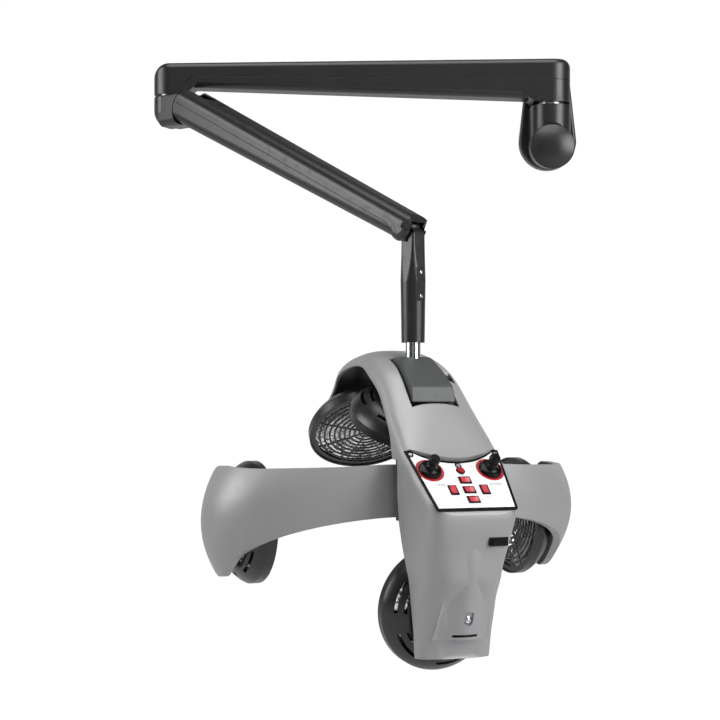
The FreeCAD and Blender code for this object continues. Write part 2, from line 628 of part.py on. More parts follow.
def knuckle():
    """Cup under the elbow, with a forked tongue that carries the arm, the link rod and the strut."""
    lift = Vector(LIFT_OFFSET, 0, LIFT_Z)
    link = lift + Vector(0, 0, LINK_OFFSET)
    lug = lug_offset()
    r = KNUCKLE_RADIUS
    height = KNUCKLE_SHOULDER_Z - KNUCKLE_BOTTOM
    quarter = [Vector(r * math.cos(a), 0, KNUCKLE_SHOULDER_Z - height * math.sin(a))
               for a in [math.radians(15 * i) for i in range(6)]] + [Vector(KNUCKLE_FLAT, 0, KNUCKLE_BOTTOM)]
    profile = [spline(quarter)] + polyline_edges([
        quarter[-1], Vector(0, 0, KNUCKLE_BOTTOM), Vector(0, 0, KNUCKLE_TOP), Vector(r - 2, 0, KNUCKLE_TOP), Vector(r, 0, KNUCKLE_TOP - 2), quarter[0]])
    cup = turned_profile(profile, ORIGIN, Z_AXIS)
    reach = LIFT_OFFSET - 12
    cheek = r - KNUCKLE_CHEEK_STEP
    jaw = side_prism([(0, KNUCKLE_BOTTOM + 1), (reach, KNUCKLE_BOTTOM + 1), (reach, KNUCKLE_TOP - 1),
                      (0, KNUCKLE_TOP - 1)], -cheek, cheek)
    lower_edges = [e for e in jaw.Edges if e.BoundBox.ZMax < KNUCKLE_BOTTOM + 2 and e.BoundBox.XLength > 20]
    jaw = jaw.makeFillet(14.0, lower_edges)
    upper_edges = [e for e in jaw.Edges if e.BoundBox.ZMin > KNUCKLE_TOP - 2 and e.BoundBox.XLength > 20]
    jaw = jaw.makeFillet(3.0, upper_edges)
    socket = across(lift, r + 2, LOWER_END_RADIUS + LOWER_END_GAP)
    body = cup.fuse(jaw).cut(socket)
    tongue = fused([
        across(lift, TONGUE_HALF_WIDTH, 13.0),
        across(link, TONGUE_HALF_WIDTH, 8.0),
        across(lug, TONGUE_HALF_WIDTH, 8.0),
        side_prism([(20, KNUCKLE_BOTTOM + 8), (lug.x + 2, lug.z - 8), (lift.x + 9, lift.z - 9), (lift.x + 9, lift.z + 9),
                    (link.x + 7, link.z + 4), (link.x, link.z + 8), (20, link.z + 8)],
                   -TONGUE_HALF_WIDTH, TONGUE_HALF_WIDTH),
    ])
    body = body.fuse(tongue)
    slot = TONGUE_SLOT_HALF_WIDTH
    pin = LIFT_PIN_RADIUS - 1
    link_slot = across(link, slot, LINK_EYE_RADIUS + 1.5).fuse(side_prism([
        (lift.x, lift.z + pin), (lift.x + pin, lift.z), (lift.x + 16, lift.z - 12), (lift.x + 40, lift.z - 12),
        (lift.x + 40, lift.z + 40), (lift.x, lift.z + 40)], -slot, slot))
    lug_slot = across(lug, slot, LINK_EYE_RADIUS + 2.5).fuse(
        side_prism([(lug.x - 12, lug.z - 30), (lug.x + 40, lug.z - 30), (lug.x + 40, lug.z + 8),
                    (lug.x + 4, lug.z + 9)], -slot, slot))
    body = body.cut([link_slot, lug_slot])
    body = body.fuse([across(link, slot + 2, LINK_PIN_RADIUS), across(lug, slot + 2, LINK_PIN_RADIUS)])
    bore = across(lift, TONGUE_HALF_WIDTH + 1, LIFT_PIN_RADIUS + RUNNING_GAP)
    foot = KNUCKLE_TOP - 45.0
    return body.cut([bore, rod(Vector(0, 0, foot), Vector(0, 0, KNUCKLE_TOP + 1), SPINDLE_RADIUS)])


# ---- Lower arm, in the arm's frame ----
def lower_arm_form(inset):
    """Outer form of the lower arm, shrunk by inset: round about the lift pin, with a hooded tip."""
    end = LOWER_END_RADIUS - inset
    nose = LOWER_LINK + LOWER_NOSE_REACH - inset
    high = LOWER_ELBOW_HALF_HEIGHT - inset
    wide = LOWER_ELBOW_HALF_WIDTH - inset
    low_tip = LOWER_TIP_HALF_HEIGHT - inset
    slim = LOWER_TIP_HALF_WIDTH - inset
    corner = LOWER_EDGE_RADIUS - inset
    sections = [(-end - 4, wide, high), (0, wide, high), (nose + 4, slim, low_tip)]
    wires = [outline([(-w, -h, corner), (w, -h, corner), (w, h, corner), (-w, h, corner)],
                     lambda u, v: Vector(x, u, v)) for x, w, h in sections]
    bar = Part.makeLoft(wires, True, True)
    side = side_prism([(0, -60), (nose, -60), (nose, low_tip + 0.2, LOWER_NOSE_RADIUS - inset), (0, high + 0.2)], -60, 60)
    plan = plan_prism([(-20, -60), (nose, -slim, slim - 1), (nose, slim, slim - 1), (-20, 60)], -60, 60)
    cheek = across(Vector(LOWER_LINK, 0, 0), slim + 0.5, LOWER_CHEEK_RADIUS - inset)
    cheek = cheek.makeFillet(corner - 4, [e for e in cheek.Edges if e.Closed])
    cheek = cheek.cut(block(0, LOWER_LINK + 60, -60, 60, 0, 60))
    return bar.common(side.common(plan).fuse(across(ORIGIN, 60, end))).fuse(cheek)


def lower_seam_region(gap):
    """Region of the lower arm's top cover, above the seam and including the hooded tip."""
    return side_prism([
        (-60, LOWER_SEAM_AT_ELBOW - gap), (-60, 60), (LOWER_LINK + 60, 60), (LOWER_LINK + 60, -60),
        (LOWER_LINK - 8 - gap, -60), (LOWER_LINK - 22 - gap, LOWER_SEAM_AT_TIP - gap),
    ], -60, 60)


def lower_arm_shell():
    """Rounded, hollow form of the lower arm, open for the knuckle's tongue and for the post."""
    form = lower_arm_form(0)
    form = form.cut(lower_arm_form(COVER_WALL))
    tongue_slot = block(-60, 3, -TONGUE_HALF_WIDTH - 3, TONGUE_HALF_WIDTH + 3, -60, 60)
    top_window = plan_prism([(-60, -17), (34, -17, 6), (34, 17, 6), (-60, 17)], LOWER_SEAM_AT_ELBOW + 8, 60)
    key_slot = plan_prism([(62, -11, 3), (69, -11, 3), (69, 11, 3), (62, 11, 3)], 0, 60)
    return form.cut([tongue_slot, top_window, key_slot, post_sweep()])


def post_sweep():
    """Room for the post inside the hooded tip, over the whole lift travel, and the hood's open end."""
    half = POST_SQUARE / 2 + 3
    pin = LOWER_LINK
    inside = side_prism([(pin - 30, -60), (pin + 60, -60), (pin + 60, 7), (pin + 20, 7), (pin - 12, -12)], -half, half)
    mouth = side_prism([(pin + 19, 16, 3), (pin + 25, -2, 8), (pin + 20, -20, 8), (pin + 8, -60), (pin + 70, -60),
                        (pin + 70, 39)], -60, 60)
    return inside.fuse(mouth)


def lower_arm_beam():
    """Folded steel channel from the lift pin to the tip pin."""
    ear = 12.0
    outer = CHANNEL_HALF_WIDTH
    inner = CHANNEL_INNER_HALF_WIDTH
    start = 34.0
    stop = LOWER_LINK - 40.0
    channel = side_prism([(start, CHANNEL_FLOOR_ELBOW), (start, CHANNEL_RIM), (stop, CHANNEL_RIM),
                          (stop, CHANNEL_FLOOR_TIP)], -outer, outer)
    hollow = side_prism([(start - 1, CHANNEL_FLOOR_ELBOW + CHANNEL_FLOOR_THICKNESS), (start - 1, CHANNEL_RIM + 1),
                         (stop + 1, CHANNEL_RIM + 1), (stop + 1, CHANNEL_FLOOR_TIP + CHANNEL_FLOOR_THICKNESS)],
                        -inner, inner)
    ears = []
    for side in (-1, 1):
        near, far = sorted((side * inner, side * outer))
        ears.append(rod(Vector(0, near, 0), Vector(0, far, 0), ear))
        ears.append(side_prism([(0, -ear), (0, ear), (start + 8, CHANNEL_RIM), (start + 8, CHANNEL_FLOOR_ELBOW + 4)],
                               near, far))
        ears.append(rod(Vector(LOWER_LINK, near, 0), Vector(LOWER_LINK, far, 0), ear))
        ears.append(side_prism([(LOWER_LINK, -ear), (LOWER_LINK, ear), (stop - 8, CHANNEL_RIM), (stop - 8, CHANNEL_FLOOR_TIP)],
                               near, far))
    pins = [across(Vector(x, 0, 0), outer + 1, LIFT_PIN_RADIUS) for x in (0, LOWER_LINK)]
    saddle = strut_saddle()
    return channel.cut(hollow).fuse(ears).fuse(saddle).cut(pins)


def strut_saddle():
    """Bridge across the channel that grips the far end of the gas strut."""
    x = STRUT_TUBE_START + STRUT_TUBE_LENGTH
    inner = CHANNEL_INNER_HALF_WIDTH
    return block(x, x + 6, -inner, inner, -STRUT_OFFSET - 7, -STRUT_OFFSET + 9)


def arm_pins():
    """Lift pin and tip pin, fast in the channel's ears."""
    reach = CHANNEL_HALF_WIDTH + 3
    made = []
    for x in (0, LOWER_LINK):
        pin = across(Vector(x, 0, 0), reach, LIFT_PIN_RADIUS)
        heads = [rod(Vector(x, side * reach, 0), Vector(x, side * (CHANNEL_HALF_WIDTH + 0.01), 0), LIFT_PIN_RADIUS + 3)
                 for side in (-1, 1)]
        made.append(pin.fuse(heads))
    return Part.makeCompound(made)


def strut_tube():
    """Cylinder of the gas strut that balances the arm."""
    start = Vector(STRUT_TUBE_START, 0, -STRUT_OFFSET)
    end = start + Vector(STRUT_TUBE_LENGTH, 0, 0)
    bore = rod(start - Vector(1, 0, 0), start + Vector(STRUT_ROD_OVERLAP + 30, 0, 0), STRUT_ROD_RADIUS + RUNNING_GAP)
    return rod(start, end, STRUT_TUBE_RADIUS).cut(bore)


def strut_rod():
    """Piston rod of the gas strut, with its eye over the knuckle's lug pin."""
    eye_centre = Vector(0, 0, -STRUT_OFFSET)
    eye = across(eye_centre, LINK_HALF_THICKNESS, LINK_PIN_RADIUS + STRUT_EYE_CLEARANCE + 3.0)
    shaft = rod(eye_centre + Vector(6, 0, 0), Vector(STRUT_TUBE_START + STRUT_ROD_OVERLAP, 0, -STRUT_OFFSET),
                STRUT_ROD_RADIUS)
    hole = across(eye_centre, LINK_HALF_THICKNESS + 1, LINK_PIN_RADIUS + STRUT_EYE_CLEARANCE)
    return eye.fuse(shaft).cut(hole)


def link_rod():
    """Levelling rod that keeps the post upright: pinned at the knuckle, and free on its pin at the post."""
    shift = Vector(-LINK_OFFSET * math.sin(PITCH), 0, LINK_OFFSET * math.cos(PITCH))
    near = shift
    far = shift + Vector(LOWER_LINK, 0, 0)
    half = LINK_HALF_THICKNESS
    bar = block(near.x, far.x, -half, half, near.z - LINK_HALF_HEIGHT, near.z + LINK_HALF_HEIGHT)
    eyes = [across(near, half, LINK_EYE_RADIUS), across(far, half, LINK_EYE_RADIUS)]
    holes = [across(near, half + 1, LINK_PIN_RADIUS + RUNNING_GAP),
             across(far, half + 1, LINK_PIN_RADIUS + LINK_FREE_CLEARANCE)]
    return bar.fuse(eyes).cut(holes)


# ---- Post, in its own frame: z axis down its middle, zero at the tip pin's height ----
def post():
    """Cast post: square tongue in the hooded tip, blending to a round socket for the neck tube."""
    pin = Vector(-TIP_OFFSET, 0, 0)
    link = pin + Vector(0, 0, LINK_OFFSET)
    half = POST_SQUARE / 2

    def ring(z, side, corner):
        wire = outline([(-side, -side, corner), (side, -side, corner), (side, side, corner), (-side, side, corner)],
                       lambda u, v: Vector(u, v, z))
        return wire

    square_top = ring(-POST_SHOULDER_DROP, half, POST_SQUARE_CORNER)
    square_low = ring(-POST_SHOULDER_DROP - 25, half + 0.5, POST_SQUARE_CORNER + 1)
    round_top = ring(-POST_ROUND_DROP, POST_RADIUS, POST_RADIUS * 0.98)
    column = Part.makeLoft([square_top, square_low, round_top], True, False)
    foot = Part.makeCone(POST_FOOT_RADIUS, POST_RADIUS, POST_FOOT_DROP - POST_ROUND_DROP,
                         Vector(0, 0, -POST_FOOT_DROP), Z_AXIS)
    tongue = fused([
        across(pin, TONGUE_HALF_WIDTH, 13.0),
        across(link, TONGUE_HALF_WIDTH, 8.0),
        side_prism([(pin.x - 8, -POST_SHOULDER_DROP - 6), (half, -POST_SHOULDER_DROP - 6), (half, -POST_SHOULDER_DROP + 2),
                    (pin.x + 13, 2), (link.x + 8, link.z), (link.x - 8, link.z), (pin.x - 13, 0)],
                   -TONGUE_HALF_WIDTH, TONGUE_HALF_WIDTH),
    ])
    head = block(1.5, half, -half, half, -POST_SHOULDER_DROP - 6, POST_HEAD_RISE)
    head = head.common(Part.makeSphere(POST_HEAD_RADIUS, pin))
    body = column.fuse([foot, tongue, head])
    slot = TONGUE_SLOT_HALF_WIDTH
    link_slot = across(link, slot, LINK_EYE_RADIUS + 1.5).fuse(
        block(link.x - 30, link.x, -slot, slot, link.z - LINK_EYE_RADIUS - 1.5, link.z + 30))
    body = body.cut(link_slot).fuse(across(link, slot + 2, LINK_PIN_RADIUS))
    socket_top = -POST_FOOT_DROP + NECK_ENTRY
    plate_pocket = block(POST_FLAT_REACH - POST_PLATE_THICKNESS, POST_RADIUS + 5, -POST_PLATE_WIDTH / 2,
                         POST_PLATE_WIDTH / 2, -POST_PLATE_DROP_BOTTOM, -POST_PLATE_DROP_TOP)
    return body.cut([
        across(pin, TONGUE_HALF_WIDTH + 1, LIFT_PIN_RADIUS + RUNNING_GAP),
        rod(Vector(0, 0, -POST_FOOT_DROP - 1), Vector(0, 0, socket_top), NECK_RADIUS + RUNNING_GAP),
        plate_pocket,
    ])


def post_cover_plate():
    """Cover over the cable way, let into the post's front."""
    gap = SEAT_GAP
    inner = POST_FLAT_REACH - POST_PLATE_THICKNESS
    plate = block(inner, inner + POST_PLATE_THICKNESS + 0.6, -POST_PLATE_WIDTH / 2 + gap, POST_PLATE_WIDTH / 2 - gap,
                  -POST_PLATE_DROP_BOTTOM + gap, -POST_PLATE_DROP_TOP - gap)
    holes = [rod(Vector(inner - 1, 0, z), Vector(inner + 5, 0, z), 1.8)
             for z in (-POST_PLATE_DROP_TOP - 8, -POST_PLATE_DROP_BOTTOM + 8)]
    return plate.cut(holes)


# ---- Neck and hub, in the head's frame ----
POST_FOOT_Z = HEAD_DROP - POST_FOOT_DROP
NECK_FOOT_Z = TILT_Z + TILT_BLOCK_RADIUS - 3


def neck_tube():
    """Chrome tube that turns in the post and carries the head."""
    low = Vector(0, 0, NECK_FOOT_Z)
    top = Vector(0, 0, POST_FOOT_Z + NECK_ENTRY - 2)
    return tube(low, top, NECK_RADIUS, NECK_RADIUS - NECK_WALL)


def neck_block():
    """Clamp block inside the hub: grips the tube and holds the tilt pin."""
    half = TILT_BLOCK_HALF_WIDTH
    barrel = rod(Vector(-half, TILT_Y, TILT_Z), Vector(half, TILT_Y, TILT_Z), TILT_BLOCK_RADIUS)
    rear = HUB_REAR_Y - HUB_WALL - 0.8
    web = end_prism([(TILT_Y, TILT_Z - TILT_BLOCK_RADIUS), (rear, NECK_FOOT_Z - 3), (rear, HUB_TOP_Z - 12),
                     (-NECK_RADIUS - 4, HUB_TOP_Z - 12), (TILT_Y, TILT_Z + TILT_BLOCK_RADIUS)], -18, 18)
    cuts = [rod(Vector(0, 0, NECK_FOOT_Z), Vector(0, 0, HUB_TOP_Z), NECK_RADIUS),
            rod(Vector(-half - 1, TILT_Y, TILT_Z), Vector(half + 1, TILT_Y, TILT_Z), TILT_PIN_RADIUS)]
    return barrel.fuse(web).cut(cuts)


def hub_form(inset, drop=0.0):
    """Hub cover's outer form, shrunk by inset: a wedge that widens downwards; drop carries its walls further down."""
    foot_z = HUB_FOOT_Z - inset * 3 if inset > 0 else HUB_FOOT_Z - drop
    rear_z = HUB_FOOT_Z + HUB_REAR_RISE - inset * 3 if inset > 0 else HUB_FOOT_Z + HUB_REAR_RISE - drop
    profile = [
        (HUB_REAR_Y - inset, rear_z), (HUB_REAR_Y - inset, HUB_TOP_Z - 3 - inset, 6.0),
        (-8.0, HUB_TOP_Z - inset, 14.0), (HUB_BREAK_Y + inset, HUB_BREAK_Z - inset * 0.7, 6.0),
        (HUB_FRONT_Y + inset, foot_z), (HUB_FRONT_Y + 22, foot_z),
    ]
    wedge = end_prism(profile, -60, 60)
    foot = HUB_FOOT_HALF_WIDTH - inset
    waist = HUB_WAIST_HALF_WIDTH - inset
    top = HUB_TOP_HALF_WIDTH - inset
    low = HUB_FOOT_Z - 20 - drop
    high = HUB_TOP_Z - inset
    sides = side_prism([(-foot, low), (foot, low), (foot, HUB_FOOT_Z), (waist, HUB_WAIST_Z, 30.0), (top, high, 10.0),
                        (-top, high, 10.0), (-waist, HUB_WAIST_Z, 30.0), (-foot, HUB_FOOT_Z)], -150, 80)
    return wedge.common(sides)


def hub_cover():
    """Cover over the tilt joint."""
    form = hub_form(0).cut(hub_form(HUB_WALL))
    return form.cut([
        rod(Vector(0, 0, HUB_TOP_Z - 20), Vector(0, 0, HUB_TOP_Z + 10), NECK_RADIUS + SEAT_GAP),
        rod(Vector(-60, TILT_Y, TILT_Z), Vector(60, TILT_Y, TILT_Z), TILT_PIN_RADIUS + SEAT_GAP),
    ])


def tilt_pin():
    """Cross pin of the tilt joint, fast in the clamp block."""
    return rod(Vector(-EAR_OUTER_X, TILT_Y, TILT_Z), Vector(EAR_OUTER_X + SEAT_GAP, TILT_Y, TILT_Z), TILT_PIN_RADIUS)


def tilt_knob():
    """Friction knob on the end of the tilt pin."""
    start = Vector(EAR_OUTER_X + 2 * SEAT_GAP, TILT_Y, TILT_Z)
    end = start + Vector(TILT_KNOB_LENGTH, 0, 0)
    grips = []
    for i in range(6):
        angle = math.radians(60 * i)
        centre = Vector(0, math.cos(angle), math.sin(angle)) * (TILT_KNOB_RADIUS + 1.2)
        grips.append(rod(start + centre + Vector(3, 0, 0), end + centre, 2.4))
    return rod(start, end, TILT_KNOB_RADIUS).cut(grips)


# ---- Spine: sections from the rear end of the arch, over the crown, down to the foot ----
# Fan stations: angle about the arch centre, rim reach, ridge reach, half width at the rim, half width
# at the front, fullness. Level stations: height, rim y, ridge y and the same three shape values.
FAN_STATIONS = [
    (38.0, 232.0, 256.0, 61.0, 59.0, 2.4),
    (55.0, 229.0, 254.0, 65.0, 63.0, 2.4),
    (73.0, 214.0, 241.0, 68.0, 66.0, 2.4),
    (90.0, 197.0, 227.0, 71.0, 69.0, 2.4),
    (107.0, 176.0, 212.0, 75.0, 73.0, 2.4),
    (121.0, 163.0, 197.5, 78.0, 76.0, 2.4),
    (134.0, 157.0, 189.5, 82.0, 80.0, 2.5),
    (146.0, 156.0, 191.0, 85.0, 83.0, 3.2),
    (157.0, 154.0, 198.0, 87.5, 86.5, 5.0),
    (168.0, 153.0, 223.0, 88.0, 87.0, 7.0),
    (180.0, 153.0, 266.0, 88.0, 84.0, 8.0),
]
FOOT_STATIONS = [
    (25.0, -118.0, -241.0, 85.0, 80.0, 8.0),
    (-15.0, -124.0, -234.0, 81.5, 77.0, 5.5),
    (-60.0, -132.0, -225.0, 76.5, 73.5, 3.6),
    (-105.0, -139.0, -211.5, 72.0, 71.0, 2.8),
    (-147.0, -142.0, -198.0, 69.5, 69.0, 2.5),
    (-180.0, -143.5, -186.0, 67.5, 67.5, 2.4),
    (SPINE_FOOT_Z, -144.0, -176.0, 66.0, 66.0, 2.4),
]
END_WALL_ANGLE = 1.0
# The front ridge at the level stations: how far it stands out of the shell, and its half width.
RIDGE = [(-7.0, 34.0), (-4.0, 36.0), (2.0, 38.0), (7.0, 42.0), (10.5, 47.0), (12.5, 52.0)]
RIDGE_ROOT = 8.0
SECTION_STEPS = 20
OPEN_BACK = 12.0


def fan_point(angle):
    """Maps (x, reach) to a point in the plane at that angle about the arch's centre line."""
    a = math.radians(angle)
    return lambda x, reach: Vector(x, ARCH_CENTRE_Y + reach * math.cos(a), ARCH_CENTRE_Z + reach * math.sin(a))


def level_point(z):
    """Maps (x, reach) to a point in the level plane at height z, with reach counted towards -y."""
    return lambda x, reach: Vector(x, ARCH_CENTRE_Y - reach, z)


def section_wire(lift, rim, ridge, half_rim, half_front, fullness, inset):
    """Closed section: a full curve from rim to rim over the ridge, and a straight chord at the rims."""
    chord = rim - (OPEN_BACK if inset else 0)
    peak = ridge - inset
    wide = half_rim - inset
    front = half_front - inset
    power = 2.0 / fullness
    points = []
    for i in range(SECTION_STEPS + 1):
        t = math.pi * i / SECTION_STEPS
        rise = max(0.0, math.sin(t)) ** power
        side = math.copysign(abs(math.cos(t)) ** power, math.cos(t))
        x = (wide + (front - wide) * rise) * side
        points.append(lift(x, chord + (peak - chord) * rise))
    points[0] = lift(wide, chord)
    points[-1] = lift(-wide, chord)
    return Part.Wire([spline(points), Part.LineSegment(points[-1], points[0]).toShape()])


def inner_fan():
    """Arch stations with the first moved in by the rear end's wall."""
    first = FAN_STATIONS[0]
    return [(first[0] + END_WALL_ANGLE, *first[1:])] + FAN_STATIONS[1:]


def fan_wires(inset):
    """Sections of the arch from its rear end to the front."""
    return [section_wire(fan_point(s[0]), *s[1:], inset) for s in (inner_fan() if inset else FAN_STATIONS)]


def foot_wires(inset):
    """Level sections of the spine from the panel's height down to its foot."""
    wires = []
    for z, rim_y, ridge_y, half_rim, half_front, fullness in FOOT_STATIONS:
        if inset and z == SPINE_FOOT_Z:
            z = z + inset
        wires.append(section_wire(level_point(z), ARCH_CENTRE_Y - rim_y, ARCH_CENTRE_Y - ridge_y,
                                  half_rim, half_front, fullness, inset))
    return wires


def front_ridge():
    """Soft ridge down the spine's front: it widens downwards and ends in a ledge over the lead's slot."""
    wires = []
    for (z, _, ridge_y, _, _, _), (rise, half) in zip(FOOT_STATIONS, RIDGE):
        lift = level_point(z)
        root = ARCH_CENTRE_Y - ridge_y - RIDGE_ROOT
        height = RIDGE_ROOT + rise
        steps = [half * i / 6 for i in range(-6, 7)]
        crest = [lift(x, root + height * math.cos(math.pi * x / 2 / half) ** 2) for x in steps]
        sunk = [lift(half, root - RIDGE_ROOT), lift(-half, root - RIDGE_ROOT)]
        wires.append(Part.Wire([spline(crest)] + polyline_edges([crest[-1], *sunk, crest[0]])))
    return Part.makeLoft(wires, True, False)


def panel_facet(inset):
    """Cutter that leaves the flat face under the control panel, sunk by inset: scooped at its top edge."""
    grow = PANEL_BORDER + SEAT_GAP + inset
    tip = PANEL_TOP_HALF_WIDTH + grow - PANEL_EAR_WIDTH
    ear = PANEL_LENGTH + grow
    far = PANEL_TOP_HALF_WIDTH + 40
    corners = [Vector(-tip, ear, -inset), Vector(-far, ear, -inset), Vector(-far, -40, -inset),
               Vector(far, -40, -inset), Vector(far, ear, -inset), Vector(tip, ear, -inset)]
    scoop = Part.Arc(corners[-1], Vector(0, PANEL_DIP_V + grow, -inset), corners[0]).toShape()
    face = Part.Face(Part.Wire(polyline_edges(corners) + [scoop]))
    return placed(face.extrude(Vector(0, 0, 60)), PANEL_FRAME)


def brow_bevel(inset):
    """Cutter that breaks the edge between the panel's face and the front below it."""
    bevel = Placement(ORIGIN, Rotation(X_AXIS, BROW_ANGLE))
    cutter = block(-120, 120, -60, 60, -inset, 40)
    return placed(cutter, moved(0, PANEL_FOOT_Y, PANEL_FOOT_Z - BROW_DROP).multiply(bevel))


def spine_form(inset):
    """Whole outer form of the spine, or its hollow when an inset is given."""
    body = Part.makeLoft(fan_wires(inset) + foot_wires(inset), True, False)
    if not inset:
        body = body.fuse(front_ridge())
    return body.cut([panel_facet(inset), brow_bevel(inset)])


def notch():
    """Opening through the liner and the yoke for the hub and the tilt joint."""
    body = block(-NOTCH_HALF_WIDTH, NOTCH_HALF_WIDTH, HUB_FRONT_Y - NOTCH_GAP, HUB_REAR_Y + 10, 150, 320)
    return body.fuse(knob_room())


def hub_sweep():
    """Room in the shell for the hub, with a running gap, through the whole tilt travel."""
    pivot = Vector(0, TILT_Y, TILT_Z)
    form = hub_form(-NOTCH_GAP, 50.0)
    swept = []
    for angle in (-TILT_FORWARD, 0.0, TILT_BACK):
        turn = Placement(pivot, Rotation(X_AXIS, angle)).multiply(Placement(-pivot, Rotation()))
        swept.append(placed(form, turn))
    for side in (-1, 1):
        near, far = sorted((side * (EAR_INNER_X - 1), side * (EAR_OUTER_X + 0.5)))
        swept.append(rod(Vector(near, TILT_Y, TILT_Z), Vector(far, TILT_Y, TILT_Z), EAR_RADIUS + 0.5))
    return swept


def knob_room():
    """Room round the friction knob, open upwards."""
    reach = TILT_KNOB_RADIUS + 4
    return block(EAR_OUTER_X + SEAT_GAP, EAR_OUTER_X + TILT_KNOB_LENGTH + 4, TILT_Y - reach, TILT_Y + reach,
                 TILT_Z - reach, 320)


def wing_reliefs():
    """Slots in both rims where the wings' roots pass."""
    left = block(-100, -60, WING_RELIEF_Y, -60, WING_ROOT_LOW - 10, WING_ROOT_TOP + 9)
    return [left, mirrored(left)]


def spine_shell():
    """Moulded shell of the spine: a thin-walled arch open towards the head."""
    pad = placed(rod(Vector(0, 0, -7), Vector(0, 0, -SEAT_GAP), CUP_WASHER_RADIUS + 6), CUP_FRAME)
    shell = spine_form(0).cut(spine_form(SHELL_WALL)).fuse(pad)
    cuts = [*hub_sweep(), knob_room(), *wing_reliefs(), *panel_cutters(), mains_cutter()]
    slot = block(-SLOT_LENGTH / 2, SLOT_LENGTH / 2, -230, -170, SLOT_Z - SLOT_HEIGHT / 2, SLOT_Z + SLOT_HEIGHT / 2)
    cuts.append(slot)
    pocket = rod(Vector(0, 0, 0), Vector(0, 0, 20), CUP_WASHER_RADIUS + 1)
    half = CUP_WASHER_RADIUS + 1
    cuts.append(placed(pocket.fuse(block(-half, half, 0, half + 6, 0, 20)), CUP_FRAME))
    cuts.append(placed(rod(Vector(0, 0, -20), Vector(0, 0, 20), CUP_SCREW_RADIUS + SEAT_GAP), CUP_FRAME))
    return shell.cut(cuts)


def band_wire(lift, low, high, half):
    """Rectangle across the spine between two reaches."""
    return Part.Wire(polyline_edges([lift(-half, low), lift(half, low), lift(half, high), lift(-half, high), lift(-half, low)]))


def inner_band(recess, height, half_width=None):
    """Band inside the spine that follows its rims: it starts at a recess from them and has a height."""
    wires = []
    for angle, rim, _, half, _, _ in inner_fan():
        low = rim + recess
        wires.append(band_wire(fan_point(angle), low, low + height, half_width or half))
    for z, rim_y, _, half, _, _ in FOOT_STATIONS:
        low = ARCH_CENTRE_Y - rim_y + recess
        wires.append(band_wire(level_point(z), low, low + height, half_width or half))
    return Part.makeLoft(wires, True, False)


def lamp_stems(name):
    """What holds one lamp's back to the liner: a stem on its axis, or for the crown one on each side of the hub."""
    back = -LAMP_DEPTH - LAMP_STEM_REACH
    if name != "crown":
        return placed(rod(Vector(0, 0, -LAMP_DEPTH), Vector(0, 0, back), LAMP_STEM_RADIUS), LAMPS[name])
    pair = [rod(Vector(side * CROWN_STEM_X, CROWN_STEM_Y, -LAMP_BAND), Vector(side * CROWN_STEM_X, CROWN_STEM_Y, back),
                CROWN_STEM_RADIUS) for side in (-1, 1)]
    return placed(pair[0].fuse(pair[1]), LAMPS[name]).cut([notch(), lamp_room(name)])


def spine_liner():
    """Inner cover that closes the spine towards the head, with the lamps' stems and both wing hinges' lugs."""
    inside = spine_form(SHELL_WALL + SEAT_GAP)
    plate = inner_band(LINER_RECESS, LINER_THICKNESS).common(inside)
    plate = plate.cut([notch(), *[lamp_room(name) for name in ("nape", "crown", "fore")]])
    under = inner_band(-60.0, 60.0 + LINER_RECESS + LINER_THICKNESS / 2)
    plate = plate.fuse([lamp_stems(name).common(under) for name in ("nape", "crown", "fore")])
    lugs = []
    for side in (-1, 1):
        for low in (WING_ROOT_LOW - SEAT_GAP - WING_LUG_THICKNESS, WING_ROOT_TOP + SEAT_GAP):
            x = side * WING_HINGE_X
            near, far = sorted((x - 9, x + 9))
            lug = block(near, far, -124, WING_HINGE_Y, low, low + WING_LUG_THICKNESS)
            nose = rod(Vector(x, WING_HINGE_Y, low), Vector(x, WING_HINGE_Y, low + WING_LUG_THICKNESS), 9)
            lugs.extend([lug, nose])
    pins = [rod(Vector(side * WING_HINGE_X, WING_HINGE_Y, 0), Vector(side * WING_HINGE_X, WING_HINGE_Y, 120), WING_PIN_RADIUS)
            for side in (-1, 1)]
    return plate.fuse(lugs).cut(pins)


def yoke_frame():
    """Steel frame round the hub's notch, laid on the liner, with an ear on each side for the tilt pin."""
    ring = inner_band(LINER_RECESS + LINER_THICKNESS + SEAT_GAP, YOKE_HEIGHT, YOKE_HALF_WIDTH)
    ring = ring.common(block(-80, 80, HUB_FRONT_Y - NOTCH_GAP - 12, HUB_REAR_Y + 22, 100, 300))
    inner = YOKE_HALF_WIDTH - YOKE_BAR
    ring = ring.cut(block(-inner, inner, HUB_FRONT_Y - NOTCH_GAP, HUB_REAR_Y + 10, 0, 300))
    ears = []
    for side in (-1, 1):
        near, far = sorted((side * EAR_INNER_X, side * EAR_OUTER_X))
        ears.append(rod(Vector(near, TILT_Y, TILT_Z), Vector(far, TILT_Y, TILT_Z), EAR_RADIUS))
        ears.append(end_prism([(TILT_Y - EAR_RADIUS, TILT_Z), (TILT_Y + EAR_RADIUS, TILT_Z),
                               (TILT_Y + EAR_RADIUS + 4, TILT_Z - 12), (TILT_Y - EAR_RADIUS - 4, TILT_Z - 15)], near, far))
    bore = rod(Vector(-80, TILT_Y, TILT_Z), Vector(80, TILT_Y, TILT_Z), TILT_PIN_RADIUS + RUNNING_GAP)
    return ring.fuse(ears).cut([bore, knob_room()])


def wing_pins():
    """Hinge pins of both wings."""
    low = WING_ROOT_LOW - SEAT_GAP - WING_LUG_THICKNESS - 1
    top = WING_ROOT_TOP + SEAT_GAP + WING_LUG_THICKNESS + 1
    return Part.makeCompound([
        rod(Vector(side * WING_HINGE_X, WING_HINGE_Y, low), Vector(side * WING_HINGE_X, WING_HINGE_Y, top), WING_PIN_RADIUS)
        for side in (-1, 1)])


